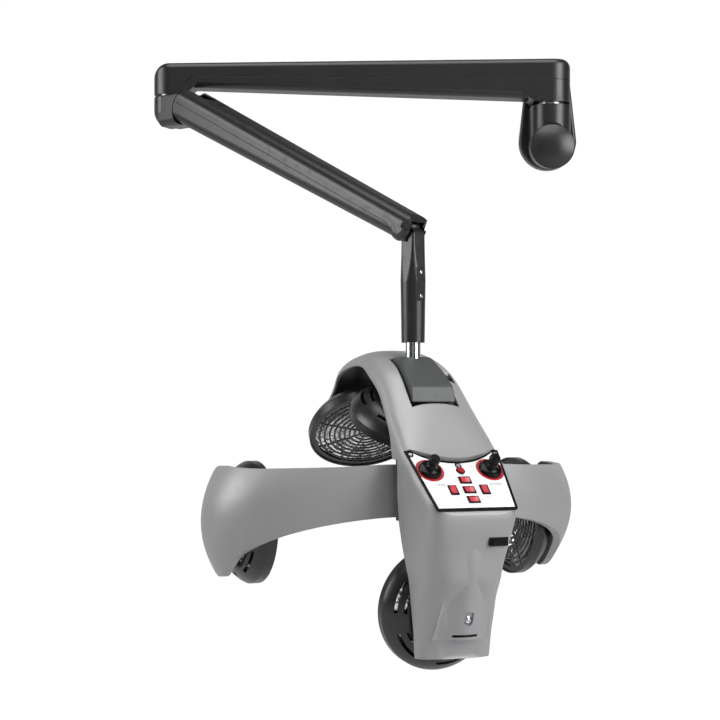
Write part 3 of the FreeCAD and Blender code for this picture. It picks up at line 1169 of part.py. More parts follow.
# ---- Control panel, in the panel's frame: u right, v up the slope, w out of it ----
ROCKERS = {
    "top": (0.0, ROCKER_MID_V + ROCKER_PITCH_V, False),
    "left": (-ROCKER_PITCH_U, ROCKER_MID_V, True),
    "middle": (0.0, ROCKER_MID_V, False),
    "right": (ROCKER_PITCH_U, ROCKER_MID_V, True),
    "bottom": (0.0, ROCKER_MID_V - ROCKER_PITCH_V, False),
}


def rocker_frame(name):
    """Place of one rocker: its long side lies along local x."""
    u, v, upright = ROCKERS[name]
    return Placement(Vector(u, v, PANEL_THICKNESS), Rotation(Z_AXIS, 90.0 if upright else 0.0))


CUP_FRAME = Placement(Vector(0, CUP_SCREW_Y, CUP_SCREW_Z), Rotation(Z_AXIS, Vector(0, -0.957, -0.290)))
MAINS_FRAME = Placement(Vector(MAINS_X, MAINS_Y, MAINS_Z), Rotation(Z_AXIS, MAINS_YAW).multiply(Rotation(X_AXIS, MAINS_LEAN)))


def centred_block(length, width, z0, z1):
    return block(-length / 2, length / 2, -width / 2, width / 2, z0, z1)


def panel_face(grow, w0, w1):
    """Solid of the plate's outline, grown by a border, between two heights: its top edge is scooped."""
    corner = 3.0 + grow
    foot = PANEL_FOOT_HALF_WIDTH + grow
    top = PANEL_TOP_HALF_WIDTH + grow
    ear = PANEL_LENGTH + grow
    tip = top - PANEL_EAR_WIDTH
    corners = [Vector(-top, ear, w0), Vector(-foot, -grow, w0), Vector(foot, -grow, w0), Vector(top, ear, w0)]
    left_foot = corner_arc(corners[0], corners[1], corners[2], corner)
    right_foot = corner_arc(corners[1], corners[2], corners[3], corner)
    right_tip = Vector(tip, ear, w0)
    left_tip = Vector(-tip, ear, w0)
    wire = Part.Wire([
        Part.LineSegment(left_foot[2], right_foot[0]).toShape(), Part.Arc(*right_foot).toShape(),
        Part.LineSegment(right_foot[2], corners[3]).toShape(), Part.LineSegment(corners[3], right_tip).toShape(),
        Part.Arc(right_tip, Vector(0, PANEL_DIP_V + grow, w0), left_tip).toShape(),
        Part.LineSegment(left_tip, corners[0]).toShape(), Part.LineSegment(corners[0], left_foot[0]).toShape(),
        Part.Arc(*left_foot).toShape(),
    ])
    return Part.Face(wire).extrude(Vector(0, 0, w1 - w0))


def panel_plate():
    """White front plate."""
    return panel_face(0, 0, PANEL_THICKNESS).cut(control_holes(-1, PANEL_THICKNESS + 1, 0))


def panel_border():
    """Dark rim that frames the plate."""
    rim = panel_face(PANEL_BORDER, 0, PANEL_THICKNESS - 0.4)
    return rim.cut(panel_face(SEAT_GAP, -1, PANEL_THICKNESS + 1))


def screw_places():
    """Centres of the three panel screws."""
    side = PANEL_TOP_HALF_WIDTH - 4.5
    return [Vector(-side, PANEL_LENGTH - 6, 0), Vector(0, PANEL_DIP_V - 6, 0), Vector(side, PANEL_LENGTH - 6, 0)]


def control_holes(w0, w1, slack):
    """Openings for the dials' shafts, the rockers, the reset button and the screws."""
    holes = []
    for side in (-1, 1):
        centre = Vector(side * DIAL_U, DIAL_V, 0)
        holes.append(rod(centre + Vector(0, 0, w0), centre + Vector(0, 0, w1), DIAL_SHAFT_RADIUS + DIAL_CLEARANCE + slack))
    for name in ROCKERS:
        body = centred_block(ROCKER_LENGTH + slack, ROCKER_WIDTH + slack, w0 - PANEL_THICKNESS, w1 - PANEL_THICKNESS)
        holes.append(placed(body, rocker_frame(name)))
    reset = Vector(0, RESET_V, 0)
    holes.append(rod(reset + Vector(0, 0, w0), reset + Vector(0, 0, w1), RESET_RADIUS + 2 + slack))
    for place in screw_places():
        holes.append(rod(place + Vector(0, 0, w0), place + Vector(0, 0, w1), 1.7))
    return holes


def panel_cutters():
    """The same openings through the shell behind the plate, in the head's frame."""
    return [placed(hole, PANEL_FRAME) for hole in control_holes(-SHELL_WALL - 4, 0.5, 1.0)]


def mains_cutter():
    """Opening in the shell for the mains rocker."""
    flange_room = MAINS_FLANGE + 2 * SEAT_GAP
    flange = centred_block(MAINS_LENGTH + flange_room, MAINS_WIDTH + flange_room, 0, 12)
    return placed(centred_block(MAINS_LENGTH, MAINS_WIDTH, -12, 12).fuse(flange), MAINS_FRAME)


def bezel(length, width, flange):
    """Frame of one rocker: a flange on the panel and a hollow body behind it."""
    outer = centred_block(length - 0.4, width - 0.4, -ROCKER_DEPTH, 0).fuse(
        centred_block(length + flange, width + flange, 0, 1.4))
    opening = centred_block(length - 2 * ROCKER_BEZEL, width - 2 * ROCKER_BEZEL, -ROCKER_DEPTH + 1.5, 3)
    return outer.cut([opening, rocker_axle(width / 2 - ROCKER_BEZEL + ROCKER_AXLE_REACH, RUNNING_GAP)])


def panel_bezels():
    """Bezels of the five lamp rockers, of the mains rocker, and the reset button's collar."""
    made = [placed(bezel(ROCKER_LENGTH, ROCKER_WIDTH, 0.0), PANEL_FRAME.multiply(rocker_frame(name))) for name in ROCKERS]
    made.append(placed(bezel(MAINS_LENGTH, MAINS_WIDTH, MAINS_FLANGE), MAINS_FRAME))
    collar = tube(Vector(0, RESET_V, -6), Vector(0, RESET_V, PANEL_THICKNESS + 0.6), RESET_RADIUS + 1.8,
                  RESET_RADIUS + 0.2)
    made.append(placed(collar, PANEL_FRAME))
    made.append(placed(panel_border(), PANEL_FRAME))
    return Part.makeCompound(made)


def rocker(length, width):
    """Rocker that tips about an axle across its middle; its top is dished."""
    inner_length = length - 2 * ROCKER_BEZEL - ROCKER_TILT_CLEARANCE
    half_width = (width - 2 * ROCKER_BEZEL) / 2 - 0.3
    half = inner_length / 2
    top_ends = Vector(-half, 0, ROCKER_HEIGHT), Vector(0, 0, ROCKER_HEIGHT - 1.4), Vector(half, 0, ROCKER_HEIGHT)
    low_ends = Vector(half, 0, -1.5), Vector(0, 0, -4.5), Vector(-half, 0, -1.5)
    wire = Part.Wire([Part.Arc(*top_ends).toShape(), Part.LineSegment(top_ends[2], low_ends[0]).toShape(),
                      Part.Arc(*low_ends).toShape(), Part.LineSegment(low_ends[2], top_ends[0]).toShape()])
    body = Part.Face(wire).extrude(Vector(0, 2 * half_width, 0))
    return placed(body, moved(0, -half_width, 0)).fuse(rocker_axle(half_width + ROCKER_AXLE_REACH, 0))


def rocker_axle(reach, slack):
    """Axle across a rocker's middle, out to a reach on both sides."""
    return rod(Vector(0, -reach, 0), Vector(0, reach, 0), ROCKER_AXLE_RADIUS + slack)


def dial(side):
    """Control knob: a broad skirt under a round grip, on its shaft."""
    centre = Vector(side * DIAL_U, DIAL_V, 0)
    base = PANEL_THICKNESS + DIAL_CLEARANCE

    def ring(radius, height):
        return Vector(radius, 0, base + height)

    neck = DIAL_STEM_RADIUS * 0.72
    flare = spline([ring(DIAL_SKIRT_RADIUS - 2, DIAL_SKIRT_HEIGHT * 0.75), ring(DIAL_STEM_RADIUS + 1, DIAL_SKIRT_HEIGHT + 1),
                    ring(neck, DIAL_HEIGHT * 0.55)])
    crown = Part.Arc(ring(neck, DIAL_HEIGHT * 0.55), ring(DIAL_STEM_RADIUS, DIAL_HEIGHT * 0.78),
                     ring(DIAL_STEM_RADIUS * 0.75, DIAL_HEIGHT)).toShape()
    edges = [flare, crown] + polyline_edges([
        ring(DIAL_STEM_RADIUS * 0.75, DIAL_HEIGHT), ring(0, DIAL_HEIGHT), ring(0, -14), ring(DIAL_SHAFT_RADIUS, -14),
        ring(DIAL_SHAFT_RADIUS, 0), ring(DIAL_SKIRT_RADIUS, 0), ring(DIAL_SKIRT_RADIUS, 2),
        ring(DIAL_SKIRT_RADIUS - 2, DIAL_SKIRT_HEIGHT * 0.75)])
    return placed(turned_profile(edges, ORIGIN, Z_AXIS), moved(centre.x, centre.y, 0))


def reset_button():
    """Push button with a small travel in its collar."""
    centre = Vector(0, RESET_V, 0)
    return rod(centre + Vector(0, 0, -5), centre + Vector(0, 0, PANEL_THICKNESS + 1.2 + RESET_TRAVEL), RESET_RADIUS)


def spine_screws():
    """Panel screws, and the nape lamp's screw in its cup washer."""
    made = []
    for place in screw_places():
        head = rod(place + Vector(0, 0, PANEL_THICKNESS), place + Vector(0, 0, PANEL_THICKNESS + 1.6), PANEL_SCREW_RADIUS)
        shank = rod(place + Vector(0, 0, -7), place + Vector(0, 0, PANEL_THICKNESS), 1.5)
        made.append(placed(head.fuse(shank), PANEL_FRAME))
    cup = Part.makeCone(CUP_WASHER_RADIUS, CUP_WASHER_RADIUS - 2.5, 2.2)
    shank = rod(Vector(0, 0, -14), Vector(0, 0, 0), CUP_SCREW_RADIUS)
    made.append(placed(cup.fuse(shank), CUP_FRAME))
    return Part.makeCompound(made)


# ---- Wings: stations along the left wing's ellipse, from the root to the rounded end ----
# Each: angle on the ellipse, top height, low height, how far the top and the low edge turn inwards.
WING_STATIONS = [
    (88.0, WING_ROOT_TOP, WING_ROOT_LOW, 1.0, 1.0),
    (72.0, 98.5, 9.5, 2.5, 2.5),
    (58.0, 96.5, -1.5, 6.0, 5.0),
    (43.0, 95.0, -19.0, 12.0, 10.0),
    (28.0, 94.0, -40.0, 18.0, 18.0),
    (16.0, 95.0, -60.0, 23.0, 25.0),
    (5.0, 96.5, -82.0, 26.0, 29.0),
    (-5.0, 95.0, -90.0, 25.0, 28.0),
    (-13.0, 72.0, -70.0, 15.0, 17.0),
]


def wing_point(angle):
    """Point on the wing's plan ellipse, and its outward normal."""
    a = math.radians(angle)
    point = Vector(-WING_CENTRE_X - WING_SEMI_X * math.cos(a), WING_CENTRE_Y - WING_SEMI_Y * math.sin(a), 0)
    normal = Vector(-math.cos(a) / WING_SEMI_X, -math.sin(a) / WING_SEMI_Y, 0).normalize()
    return point, normal


def wing_curve(station, depth, trim):
    """Upright curve at one station, set in from the outer face by depth and cut short by trim."""
    angle, top, low, top_turn, low_turn = station
    point, normal = wing_point(angle)
    middle = (top + low) / 2
    half = (top - low) / 2
    points = []
    for i in range(7):
        share = 1 - i / 3.0
        turn = top_turn if share > 0 else low_turn
        height = middle + share * (half - trim)
        points.append(point - normal * (turn * share * share + depth) + Vector(0, 0, height))
    return points


def wing_wire(station, outer_depth, inner_depth, trim):
    """Closed upright section between two depths."""
    outer = wing_curve(station, outer_depth, trim)
    inner = wing_curve(station, inner_depth, trim)
    inner.reverse()
    return Part.Wire([spline(outer), Part.LineSegment(outer[-1], inner[0]).toShape(),
                      spline(inner), Part.LineSegment(inner[-1], outer[0]).toShape()])


def wing_loft(outer_depth, inner_depth, trim, end_trim):
    """Loft of the wing between two depths; end_trim shortens both ends, in degrees on the ellipse."""
    stations = [list(s) for s in WING_STATIONS]
    stations[0][0] -= end_trim
    stations[-1][0] += end_trim
    return Part.makeLoft([wing_wire(s, outer_depth, inner_depth, trim) for s in stations], True, False)


def left_wing_shell():
    """Moulded outer half of the left wing: a shallow curved tray, open towards the head."""
    tray = wing_loft(0, WING_DEPTH, 0, 0).cut(wing_loft(WING_WALL, WING_DEPTH + 6, WING_WALL, 0.8))
    room = rod(Vector(-WING_HINGE_X, WING_HINGE_Y, WING_ROOT_LOW - 5), Vector(-WING_HINGE_X, WING_HINGE_Y, WING_ROOT_TOP + 5),
               WING_ROOT_RADIUS + 0.4)
    return tray.cut([room, wing_arm(1.0)])


def wing_arm(slack):
    """Bar that joins the hinge barrel to the wing's liner, grown by a slack."""
    return block(-WING_HINGE_X - 22, -WING_HINGE_X, WING_HINGE_Y - 3 - slack, WING_HINGE_Y + 8 + slack,
                 WING_ROOT_LOW + 5 - slack, WING_ROOT_TOP - 5 + slack)


def left_wing_liner():
    """Inner cover of the left wing with the hinge barrel and the lamp's stem."""
    depth = WING_DEPTH - WING_LINER_RECESS
    plate = wing_loft(depth - WING_WALL, depth, WING_WALL + 0.4, 1.0)
    axis = Vector(-WING_HINGE_X, WING_HINGE_Y, 0)
    barrel = rod(axis + Vector(0, 0, WING_ROOT_LOW), axis + Vector(0, 0, WING_ROOT_TOP), WING_ROOT_RADIUS)
    arm = wing_arm(0)
    reach = -WING_CENTRE_X - WING_SEMI_X + depth - WING_WALL / 2
    stem = rod(Vector(SIDE_LAMP_X - LAMP_DEPTH, SIDE_LAMP_Y, SIDE_LAMP_Z), Vector(reach, SIDE_LAMP_Y, SIDE_LAMP_Z), 16.0)
    body = plate.fuse([barrel, arm, stem])
    bore = rod(axis, axis + Vector(0, 0, 130), WING_PIN_RADIUS + RUNNING_GAP)
    return body.cut(bore)


# ---- Lamps, each in its own frame: z out of the mouth, zero at the mouth ----
SIDE_LAMP_X = -244.0
SIDE_LAMP_Y = 108.0
SIDE_LAMP_Z = 0.0


def aimed(x, y, z, direction):
    """Placement that puts a lamp's mouth at a point, facing a direction."""
    return Placement(Vector(x, y, z), Rotation(Z_AXIS, Vector(*direction)))


LAMPS = {
    "nape": aimed(0, -83.5, -136.0, (0, 1, 0.13)),
    "crown": aimed(0, 16.0, 167.0, (0, 0.47, -0.88)),
    "fore": aimed(0, 190.0, 150.0, (-0.10, -0.61, -0.785)),
    "left": aimed(SIDE_LAMP_X, SIDE_LAMP_Y, SIDE_LAMP_Z, (1, 0, 0)),
    "right": aimed(-SIDE_LAMP_X, SIDE_LAMP_Y, SIDE_LAMP_Z, (-1, 0, 0)),
}


def bowl_edges(inset):
    """Back profile of the bowl from the mouth to the middle of the back, shrunk by inset."""
    radius = LAMP_RADIUS - inset
    depth = LAMP_DEPTH - inset
    back = LAMP_BACK_RADIUS
    shoulder = Vector(radius, 0, -LAMP_BAND)
    bulge = Vector(back + (radius - back) * 0.74, 0, -LAMP_BAND - (depth - LAMP_BAND) * 0.66)
    return Vector(radius, 0, 0), shoulder, bulge, Vector(back, 0, -depth), Vector(0, 0, -depth)


def lamp_bowl():
    """Slotted black housing of one lamp."""
    mouth, shoulder, bulge, edge, back = bowl_edges(0)
    inner_mouth, inner_shoulder, inner_bulge, inner_edge, inner_back = bowl_edges(LAMP_WALL)
    profile = polyline_edges([mouth, shoulder]) + [Part.Arc(shoulder, bulge, edge).toShape()]
    profile += polyline_edges([edge, back, inner_back, inner_edge])
    profile += [Part.Arc(inner_edge, inner_bulge, inner_shoulder).toShape()]
    profile += polyline_edges([inner_shoulder, inner_mouth, mouth])
    bowl = turned_profile(profile, ORIGIN, Z_AXIS)
    return bowl.cut(slot_cutters())


def lamp_room(name):
    """Clearance round one lamp's back, in the head's frame."""
    mouth, shoulder, bulge, edge, back = bowl_edges(-SEAT_GAP)
    profile = polyline_edges([mouth, shoulder]) + [Part.Arc(shoulder, bulge, edge).toShape()]
    profile += polyline_edges([edge, back, ORIGIN, mouth])
    return placed(turned_profile(profile, ORIGIN, Z_AXIS), LAMPS[name])


def slot_cutters():
    """Arc slots through the dome, in sectors."""
    cutters = []
    for sector in range(LAMP_SLOT_SECTORS):
        start = sector * 360.0 / LAMP_SLOT_SECTORS
        for radius in LAMP_SLOT_RADII:
            low = Vector(radius - LAMP_SLOT_WIDTH / 2, 0, -LAMP_DEPTH - 2)
            face = Part.Face(Part.Wire(polyline_edges([
                low, low + Vector(LAMP_SLOT_WIDTH, 0, 0), low + Vector(LAMP_SLOT_WIDTH, 0, LAMP_DEPTH - LAMP_BAND),
                low + Vector(0, 0, LAMP_DEPTH - LAMP_BAND), low])))
            cutter = face.revolve(ORIGIN, Z_AXIS, LAMP_SLOT_ARC)
            cutters.append(placed(cutter, turned(start)))
    return cutters


def lamp_grille():
    """Guard over the mouth: rings tied by spokes to a frame."""
    frame_outer = LAMP_RADIUS - LAMP_WALL
    frame_inner = frame_outer - 4.0
    low = -5.0
    high = -2.5
    rings = [tube(Vector(0, 0, low), Vector(0, 0, high), frame_outer, frame_inner)]
    for radius in GRILLE_RINGS:
        rings.append(tube(Vector(0, 0, low), Vector(0, 0, high), radius + GRILLE_BAR / 2, radius - GRILLE_BAR / 2))
    spokes = []
    inner = GRILLE_RINGS[0]
    for i in range(GRILLE_SPOKES):
        spoke = block(inner, frame_inner + 1, -GRILLE_BAR / 2, GRILLE_BAR / 2, low, high)
        spokes.append(placed(spoke, turned(360.0 * i / GRILLE_SPOKES)))
    return fused(rings + spokes)


def lamp_heater():
    """Polished reflector dish and the ceramic emitter on its holder."""
    depth = LAMP_DEPTH - LAMP_WALL - 0.5
    outer = [Vector(REFLECTOR_RADIUS, 0, -12), Vector(62, 0, -28), Vector(EMITTER_RADIUS, 0, -depth + 8)]
    inner = [Vector(p.x, 0, p.z + 1.2) for p in outer]
    inner.reverse()
    dish = turned_profile([Part.Arc(*outer).toShape(), Part.LineSegment(outer[2], inner[0]).toShape(),
                           Part.Arc(*inner).toShape(), Part.LineSegment(inner[2], outer[0]).toShape()], ORIGIN, Z_AXIS)
    collar = tube(Vector(0, 0, -depth), Vector(0, 0, -depth + 10), EMITTER_RADIUS + 1, EMITTER_RADIUS - 2)
    emitter = rod(Vector(0, 0, -depth), Vector(0, 0, -depth + EMITTER_LENGTH), EMITTER_RADIUS - 6)
    return [dish.fuse(collar), emitter]


def main():
    os.makedirs("parts", exist_ok=True)

    export("wall_plate", wall_plate())
    export("wall_bracket", wall_bracket())
    export("centre_bolt", centre_bolt())
    export("dome_cap", dome_cap())
    export("wall_spindle", spindle(WALL_AXIS, SPINDLE_FOOT_Z, WALL_HUB_TOP))
    export("wall_washer", tube(WALL_AXIS + Vector(0, 0, FRONT_BOSS_TOP), WALL_AXIS + Vector(0, 0, UPPER_BOTTOM_AT_WALL),
                               WASHER_RADIUS, SPINDLE_RADIUS + SEAT_GAP))

    shell = upper_arm_shell()
    export("upper_arm_cover", shell.common(upper_seam_region(0)))
    export("upper_arm_base", shell.cut(upper_seam_region(COVER_SEAM)))
    export("upper_arm_beam", upper_arm_beam())
    export("arm_bushes", arm_bushes())

    export("knuckle", knuckle(), KNUCKLE_FRAME)
    export("elbow_spindle", spindle(ELBOW, KNUCKLE_TOP - 45.0, ELBOW_HUB_TOP))
    export("elbow_washer", tube(ELBOW + Vector(0, 0, KNUCKLE_TOP), ELBOW + Vector(0, 0, UPPER_BOTTOM_AT_ELBOW),
                                ELBOW_WASHER_RADIUS, SPINDLE_RADIUS + SEAT_GAP))

    shell = lower_arm_shell()
    export("lower_arm_cover", shell.common(lower_seam_region(0)), ARM_FRAME)
    export("lower_arm_base", shell.cut(lower_seam_region(COVER_SEAM)), ARM_FRAME)
    export("lower_arm_beam", lower_arm_beam(), ARM_FRAME)
    export("arm_pins", arm_pins(), ARM_FRAME)
    export("strut_tube", strut_tube(), ARM_FRAME)
    export("strut_rod", strut_rod(), ARM_FRAME)
    export("link_rod", link_rod(), ARM_FRAME)

    export("post", post(), POST_FRAME)
    export("post_cover_plate", post_cover_plate(), POST_FRAME)

    export("neck_tube", neck_tube(), HEAD_FRAME)
    export("neck_block", neck_block(), HEAD_FRAME)
    export("hub_cover", hub_cover(), HEAD_FRAME)
    export("tilt_pin", tilt_pin(), HEAD_FRAME)
    export("tilt_knob", tilt_knob(), HEAD_FRAME)

    export("spine_shell", spine_shell(), HEAD_FRAME)
    export("spine_liner", spine_liner(), HEAD_FRAME)
    export("yoke_frame", yoke_frame(), HEAD_FRAME)
    export("wing_pins", wing_pins(), HEAD_FRAME)

    panel = HEAD_FRAME.multiply(PANEL_FRAME)
    export("panel_plate", panel_plate(), panel)
    export("panel_bezels", panel_bezels(), HEAD_FRAME)
    export("spine_screws", spine_screws(), HEAD_FRAME)
    export("timer_dial", dial(-1), panel)
    export("heat_dial", dial(1), panel)
    export("reset_button", reset_button(), panel)
    for name in ROCKERS:
        export("rocker_" + name, rocker(ROCKER_LENGTH, ROCKER_WIDTH), panel.multiply(rocker_frame(name)))
    export("mains_rocker", rocker(MAINS_LENGTH, MAINS_WIDTH), HEAD_FRAME.multiply(MAINS_FRAME))

    wing = left_wing_shell()
    liner = left_wing_liner()
    export("left_wing_shell", wing, HEAD_FRAME)
    export("left_wing_liner", liner, HEAD_FRAME)
    export("right_wing_shell", mirrored(wing), HEAD_FRAME)
    export("right_wing_liner", mirrored(liner), HEAD_FRAME)

    bowl = lamp_bowl()
    grille = lamp_grille()
    heater = lamp_heater()
    for name, aim in LAMPS.items():
        export(name + "_bowl", bowl, HEAD_FRAME.multiply(aim))
        export(name + "_grille", grille, HEAD_FRAME.multiply(aim))
    for name in ("left", "right"):
        export(name + "_heater", Part.makeCompound([placed(s, LAMPS[name]) for s in heater]), HEAD_FRAME)
    export("spine_heaters", Part.makeCompound([placed(s, LAMPS[name]) for name in ("nape", "crown", "fore")
                                               for s in heater]), HEAD_FRAME)


main()
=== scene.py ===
"""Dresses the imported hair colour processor: finishes, print, lamp guards, screws, studio."""

from __future__ import annotations

import json
import logging
import math
from dataclasses import dataclass
from enum import Enum
from typing import Any, Mapping, Sequence, Union

import bmesh
import bpy
from mathutils import Matrix, Vector

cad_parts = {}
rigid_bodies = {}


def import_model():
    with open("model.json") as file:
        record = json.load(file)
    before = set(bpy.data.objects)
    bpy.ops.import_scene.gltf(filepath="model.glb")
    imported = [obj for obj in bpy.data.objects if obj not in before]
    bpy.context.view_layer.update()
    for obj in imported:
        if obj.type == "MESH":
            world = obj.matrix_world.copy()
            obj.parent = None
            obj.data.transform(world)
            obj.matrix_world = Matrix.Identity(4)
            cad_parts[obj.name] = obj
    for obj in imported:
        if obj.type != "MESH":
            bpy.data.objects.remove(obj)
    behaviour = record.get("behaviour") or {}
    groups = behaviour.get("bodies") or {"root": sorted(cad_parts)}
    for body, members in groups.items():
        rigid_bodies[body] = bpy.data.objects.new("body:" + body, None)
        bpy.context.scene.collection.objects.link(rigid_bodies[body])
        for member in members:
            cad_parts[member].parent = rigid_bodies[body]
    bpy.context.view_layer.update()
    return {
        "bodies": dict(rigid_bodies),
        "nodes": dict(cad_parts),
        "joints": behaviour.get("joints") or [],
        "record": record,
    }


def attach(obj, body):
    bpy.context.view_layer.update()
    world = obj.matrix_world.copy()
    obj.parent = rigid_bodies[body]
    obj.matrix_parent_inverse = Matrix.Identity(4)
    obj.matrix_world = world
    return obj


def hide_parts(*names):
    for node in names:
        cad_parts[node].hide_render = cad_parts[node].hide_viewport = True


LOG = logging.getLogger("hair_colour_processor")
MM = 0.001
TAU = 2.0 * math.pi
SHARP_ANGLE = math.radians(35.0)
LEAST_MITRE = 0.35
CAPITAL_HEIGHT = 1.43

Colour = tuple[float, float, float]
Point = tuple[float, float, float]
Value = Union["Wire", float, Sequence[float]]

WHITE: Colour = (1.0, 1.0, 1.0)
MIX_FACTOR, MIX_LOW, MIX_HIGH, MIX_RESULT = 0, 6, 7, 2

# Octaves of each texture, and how strong its finer octaves are.
GRAIN_DETAIL = (3.0, 0.55)
CLOUD_DETAIL = (3.0, 0.6)
SCUFF_DETAIL = (6.0, 0.7)
FLAKE_DETAIL = (1.0, 0.5)
LINE_DETAIL = (2.0, 0.5)
SMEAR_DETAIL = (4.0, 0.65)
RIB_DETAIL = (1.0, 0.4)
BODY_DETAIL = (2.0, 0.5)
SPECK_DETAIL = (2.0, 0.5)

# The part of each texture's range that is stretched into its mask.
SCUFF_RANGE = (0.52, 0.72)
FLAKE_RANGE = (0.60, 0.78)
SMEAR_RANGE = (0.45, 0.75)
BODY_RANGE = (0.35, 0.65)
SPECK_RANGE = (0.4, 0.8)


class Wire:
    """One output socket, with arithmetic that adds Math nodes."""

    def __init__(self, recipe: "Recipe", socket: bpy.types.NodeSocket) -> None:
        """Wraps a socket.

        Args:
            recipe: The node tree the socket is in.
            socket: The output socket.
        """
        self.recipe = recipe
        self.socket = socket

    def _math(self, operation: str, left: Value, right: Value) -> "Wire":
        """Adds one Math node.

        Args:
            operation: The Math node's operation.
            left: The first number or wire.
            right: The second number or wire.

        Returns:
            The node's result.
        """
        return self.recipe.node("ShaderNodeMath", {"operation": operation}, {0: left, 1: right})

    def __add__(self, other: Value) -> "Wire":
        """Returns self + other."""
        return self._math("ADD", self, other)

    def __radd__(self, other: Value) -> "Wire":
        """Returns other + self."""
        return self._math("ADD", other, self)

    def __sub__(self, other: Value) -> "Wire":
        """Returns self - other."""
        return self._math("SUBTRACT", self, other)

    def __rsub__(self, other: Value) -> "Wire":
        """Returns other - self."""
        return self._math("SUBTRACT", other, self)

    def __mul__(self, other: Value) -> "Wire":
        """Returns self * other."""
        return self._math("MULTIPLY", self, other)

    def __rmul__(self, other: Value) -> "Wire":
        """Returns other * self."""
        return self._math("MULTIPLY", other, self)

    def clamped(self) -> "Wire":
        """Returns self held between 0 and 1."""
        return self.recipe.node("ShaderNodeClamp", {}, {"Value": self})


class Recipe:
    """A material's node tree and the one method that adds to it."""

    def __init__(self, tree: bpy.types.NodeTree) -> None:
        """Empties a node tree.

        Args:
            tree: The tree to fill.
        """
        self.tree = tree
        tree.nodes.clear()

    def node(
        self,
        kind: str,
        settings: Mapping[str, Any] | None = None,
        sockets: Mapping[Union[str, int], Value] | None = None,
        output: Union[str, int] = 0,
    ) -> Wire:
        """Adds a node, sets it up and feeds its sockets.

        Args:
            kind: The node's type.
            settings: The node's own settings; "stops" gives a ramp's positions and levels.
            sockets: What each input takes, a number, a colour or a wire.
            output: The output that is returned.

        Returns:
            The chosen output.
        """
        made = self.tree.nodes.new(kind)
        for name, value in (settings or {}).items():
            if name == "stops":
                self._stops(made, value)
            else:
                setattr(made, name, value)
        for name, value in (sockets or {}).items():
            socket = made.inputs[name]
            if isinstance(value, Wire):
                self.tree.links.new(value.socket, socket)
            elif isinstance(value, (tuple, list)) and len(value) == 3 and socket.type == "RGBA":
                socket.default_value = (*value, 1.0)
            else:
                socket.default_value = value
        return Wire(self, made.outputs[output]) if len(made.outputs) else Wire(self, None)

    @staticmethod
    def _stops(ramp: bpy.types.Node, stops: Sequence[tuple[float, float]]) -> None:
        """Sets a ramp's stops.

        Args:
            ramp: The ramp node.
            stops: A position and a grey level for each.
        """
        elements = ramp.color_ramp.elements
        while len(elements) < len(stops):
            elements.new(1.0)
        for element, (position, level) in zip(elements, stops):
            element.position = position
            element.color = (level, level, level, 1.0)

    def place(self) -> Wire:
        """Returns the coordinates that move with the piece, in metres."""
        return self.node("ShaderNodeTexCoord", output="Object")

    def noise(self, place: Wire, scale: float, detail: float = 2.0, rough: float = 0.5) -> Wire:
        """Adds noise.

        Args:
            place: The coordinates.
            scale: Cells per metre.
            detail: Octaves.
            rough: How strong the finer octaves are.

        Returns:
            The noise, from 0 to 1.
        """
        return self.node(
            "ShaderNodeTexNoise",
            {"noise_dimensions": "3D"},
            {"Vector": place, "Scale": scale, "Detail": detail, "Roughness": rough},
        )

    def ramp(self, amount: Wire, empty: float, full: float) -> Wire:
        """Stretches a part of a value's range over the whole of 0 to 1.

        Args:
            amount: The value.
            empty: Where the result is still 0.
            full: Where it reaches 1.

        Returns:
            The stretched value.
        """
        stops = ((empty, 0.0), (full, 1.0))
        return self.node("ShaderNodeValToRGB", {"stops": stops}, {"Fac": amount})

    def tint(self, amount: Value, low: Value, high: Value) -> Wire:
        """Mixes two colours.

        Args:
            amount: 0 for the first colour, 1 for the second.
            low: The first colour.
            high: The second colour.

        Returns:
            The mixed colour.
        """
        low_value = (*low, 1.0) if isinstance(low, tuple) else low
        high_value = (*high, 1.0) if isinstance(high, tuple) else high
        sockets = {MIX_FACTOR: amount, MIX_LOW: low_value, MIX_HIGH: high_value}
        return self.node("ShaderNodeMix", {"data_type": "RGBA"}, sockets, output=MIX_RESULT)

    def rounded(self, radius: float) -> Wire:
        """Returns a normal that turns smoothly over sharp edges within a radius in metres."""
        return self.node("ShaderNodeBevel", {"samples": 4}, {"Radius": radius}, output="Normal")

    def edges(self, soft: Wire, gain: float) -> Wire:
        """Finds the places where the rounded normal leaves the real one.

        Args:
            soft: The rounded normal.
            gain: How quickly the mask fills.

        Returns:
            A mask, 1 on edges.
        """
        hard = self.node("ShaderNodeNewGeometry", output="Normal")
        product = {"operation": "DOT_PRODUCT"}
        match = self.node("ShaderNodeVectorMath", product, {0: soft, 1: hard}, output="Value")
        return ((1.0 - match) * gain).clamped()

    def relief(self, height: Wire, depth: float, below: Wire | None = None) -> Wire:
        """Adds a bump.

        Args:
            height: The height from 0 to 1.
            depth: What 1 stands for, in metres.
            below: The normal it lies on.

        Returns:
            The bumped normal.
        """
        sockets: dict[Union[str, int], Value] = {"Height": height, "Distance": depth}
        sockets["Strength"] = 1.0
        if below is not None:
            sockets["Normal"] = below
        return self.node("ShaderNodeBump", {}, sockets, output="Normal")

    def surface(self, sockets: Mapping[Union[str, int], Value]) -> None:
        """Ends the tree in a Principled shader with these sockets."""
        shader = self.node("ShaderNodeBsdfPrincipled", {}, sockets)
        self.node("ShaderNodeOutputMaterial", {}, {"Surface": shader})


def new_recipe(name: str) -> tuple[bpy.types.Material, Recipe]:
    """Starts a material.

    Args:
        name: The material's name.

    Returns:
        The material and its empty recipe.
    """
    material = bpy.data.materials.new(name)
    material.use_nodes = True
    return material, Recipe(material.node_tree)


def shade(colour: Colour, gain: float, lift: float = 0.0) -> Colour:
    """Returns a colour scaled by a gain and lifted, up to full white."""
    return tuple(min(1.0, level * gain + lift) for level in colour)


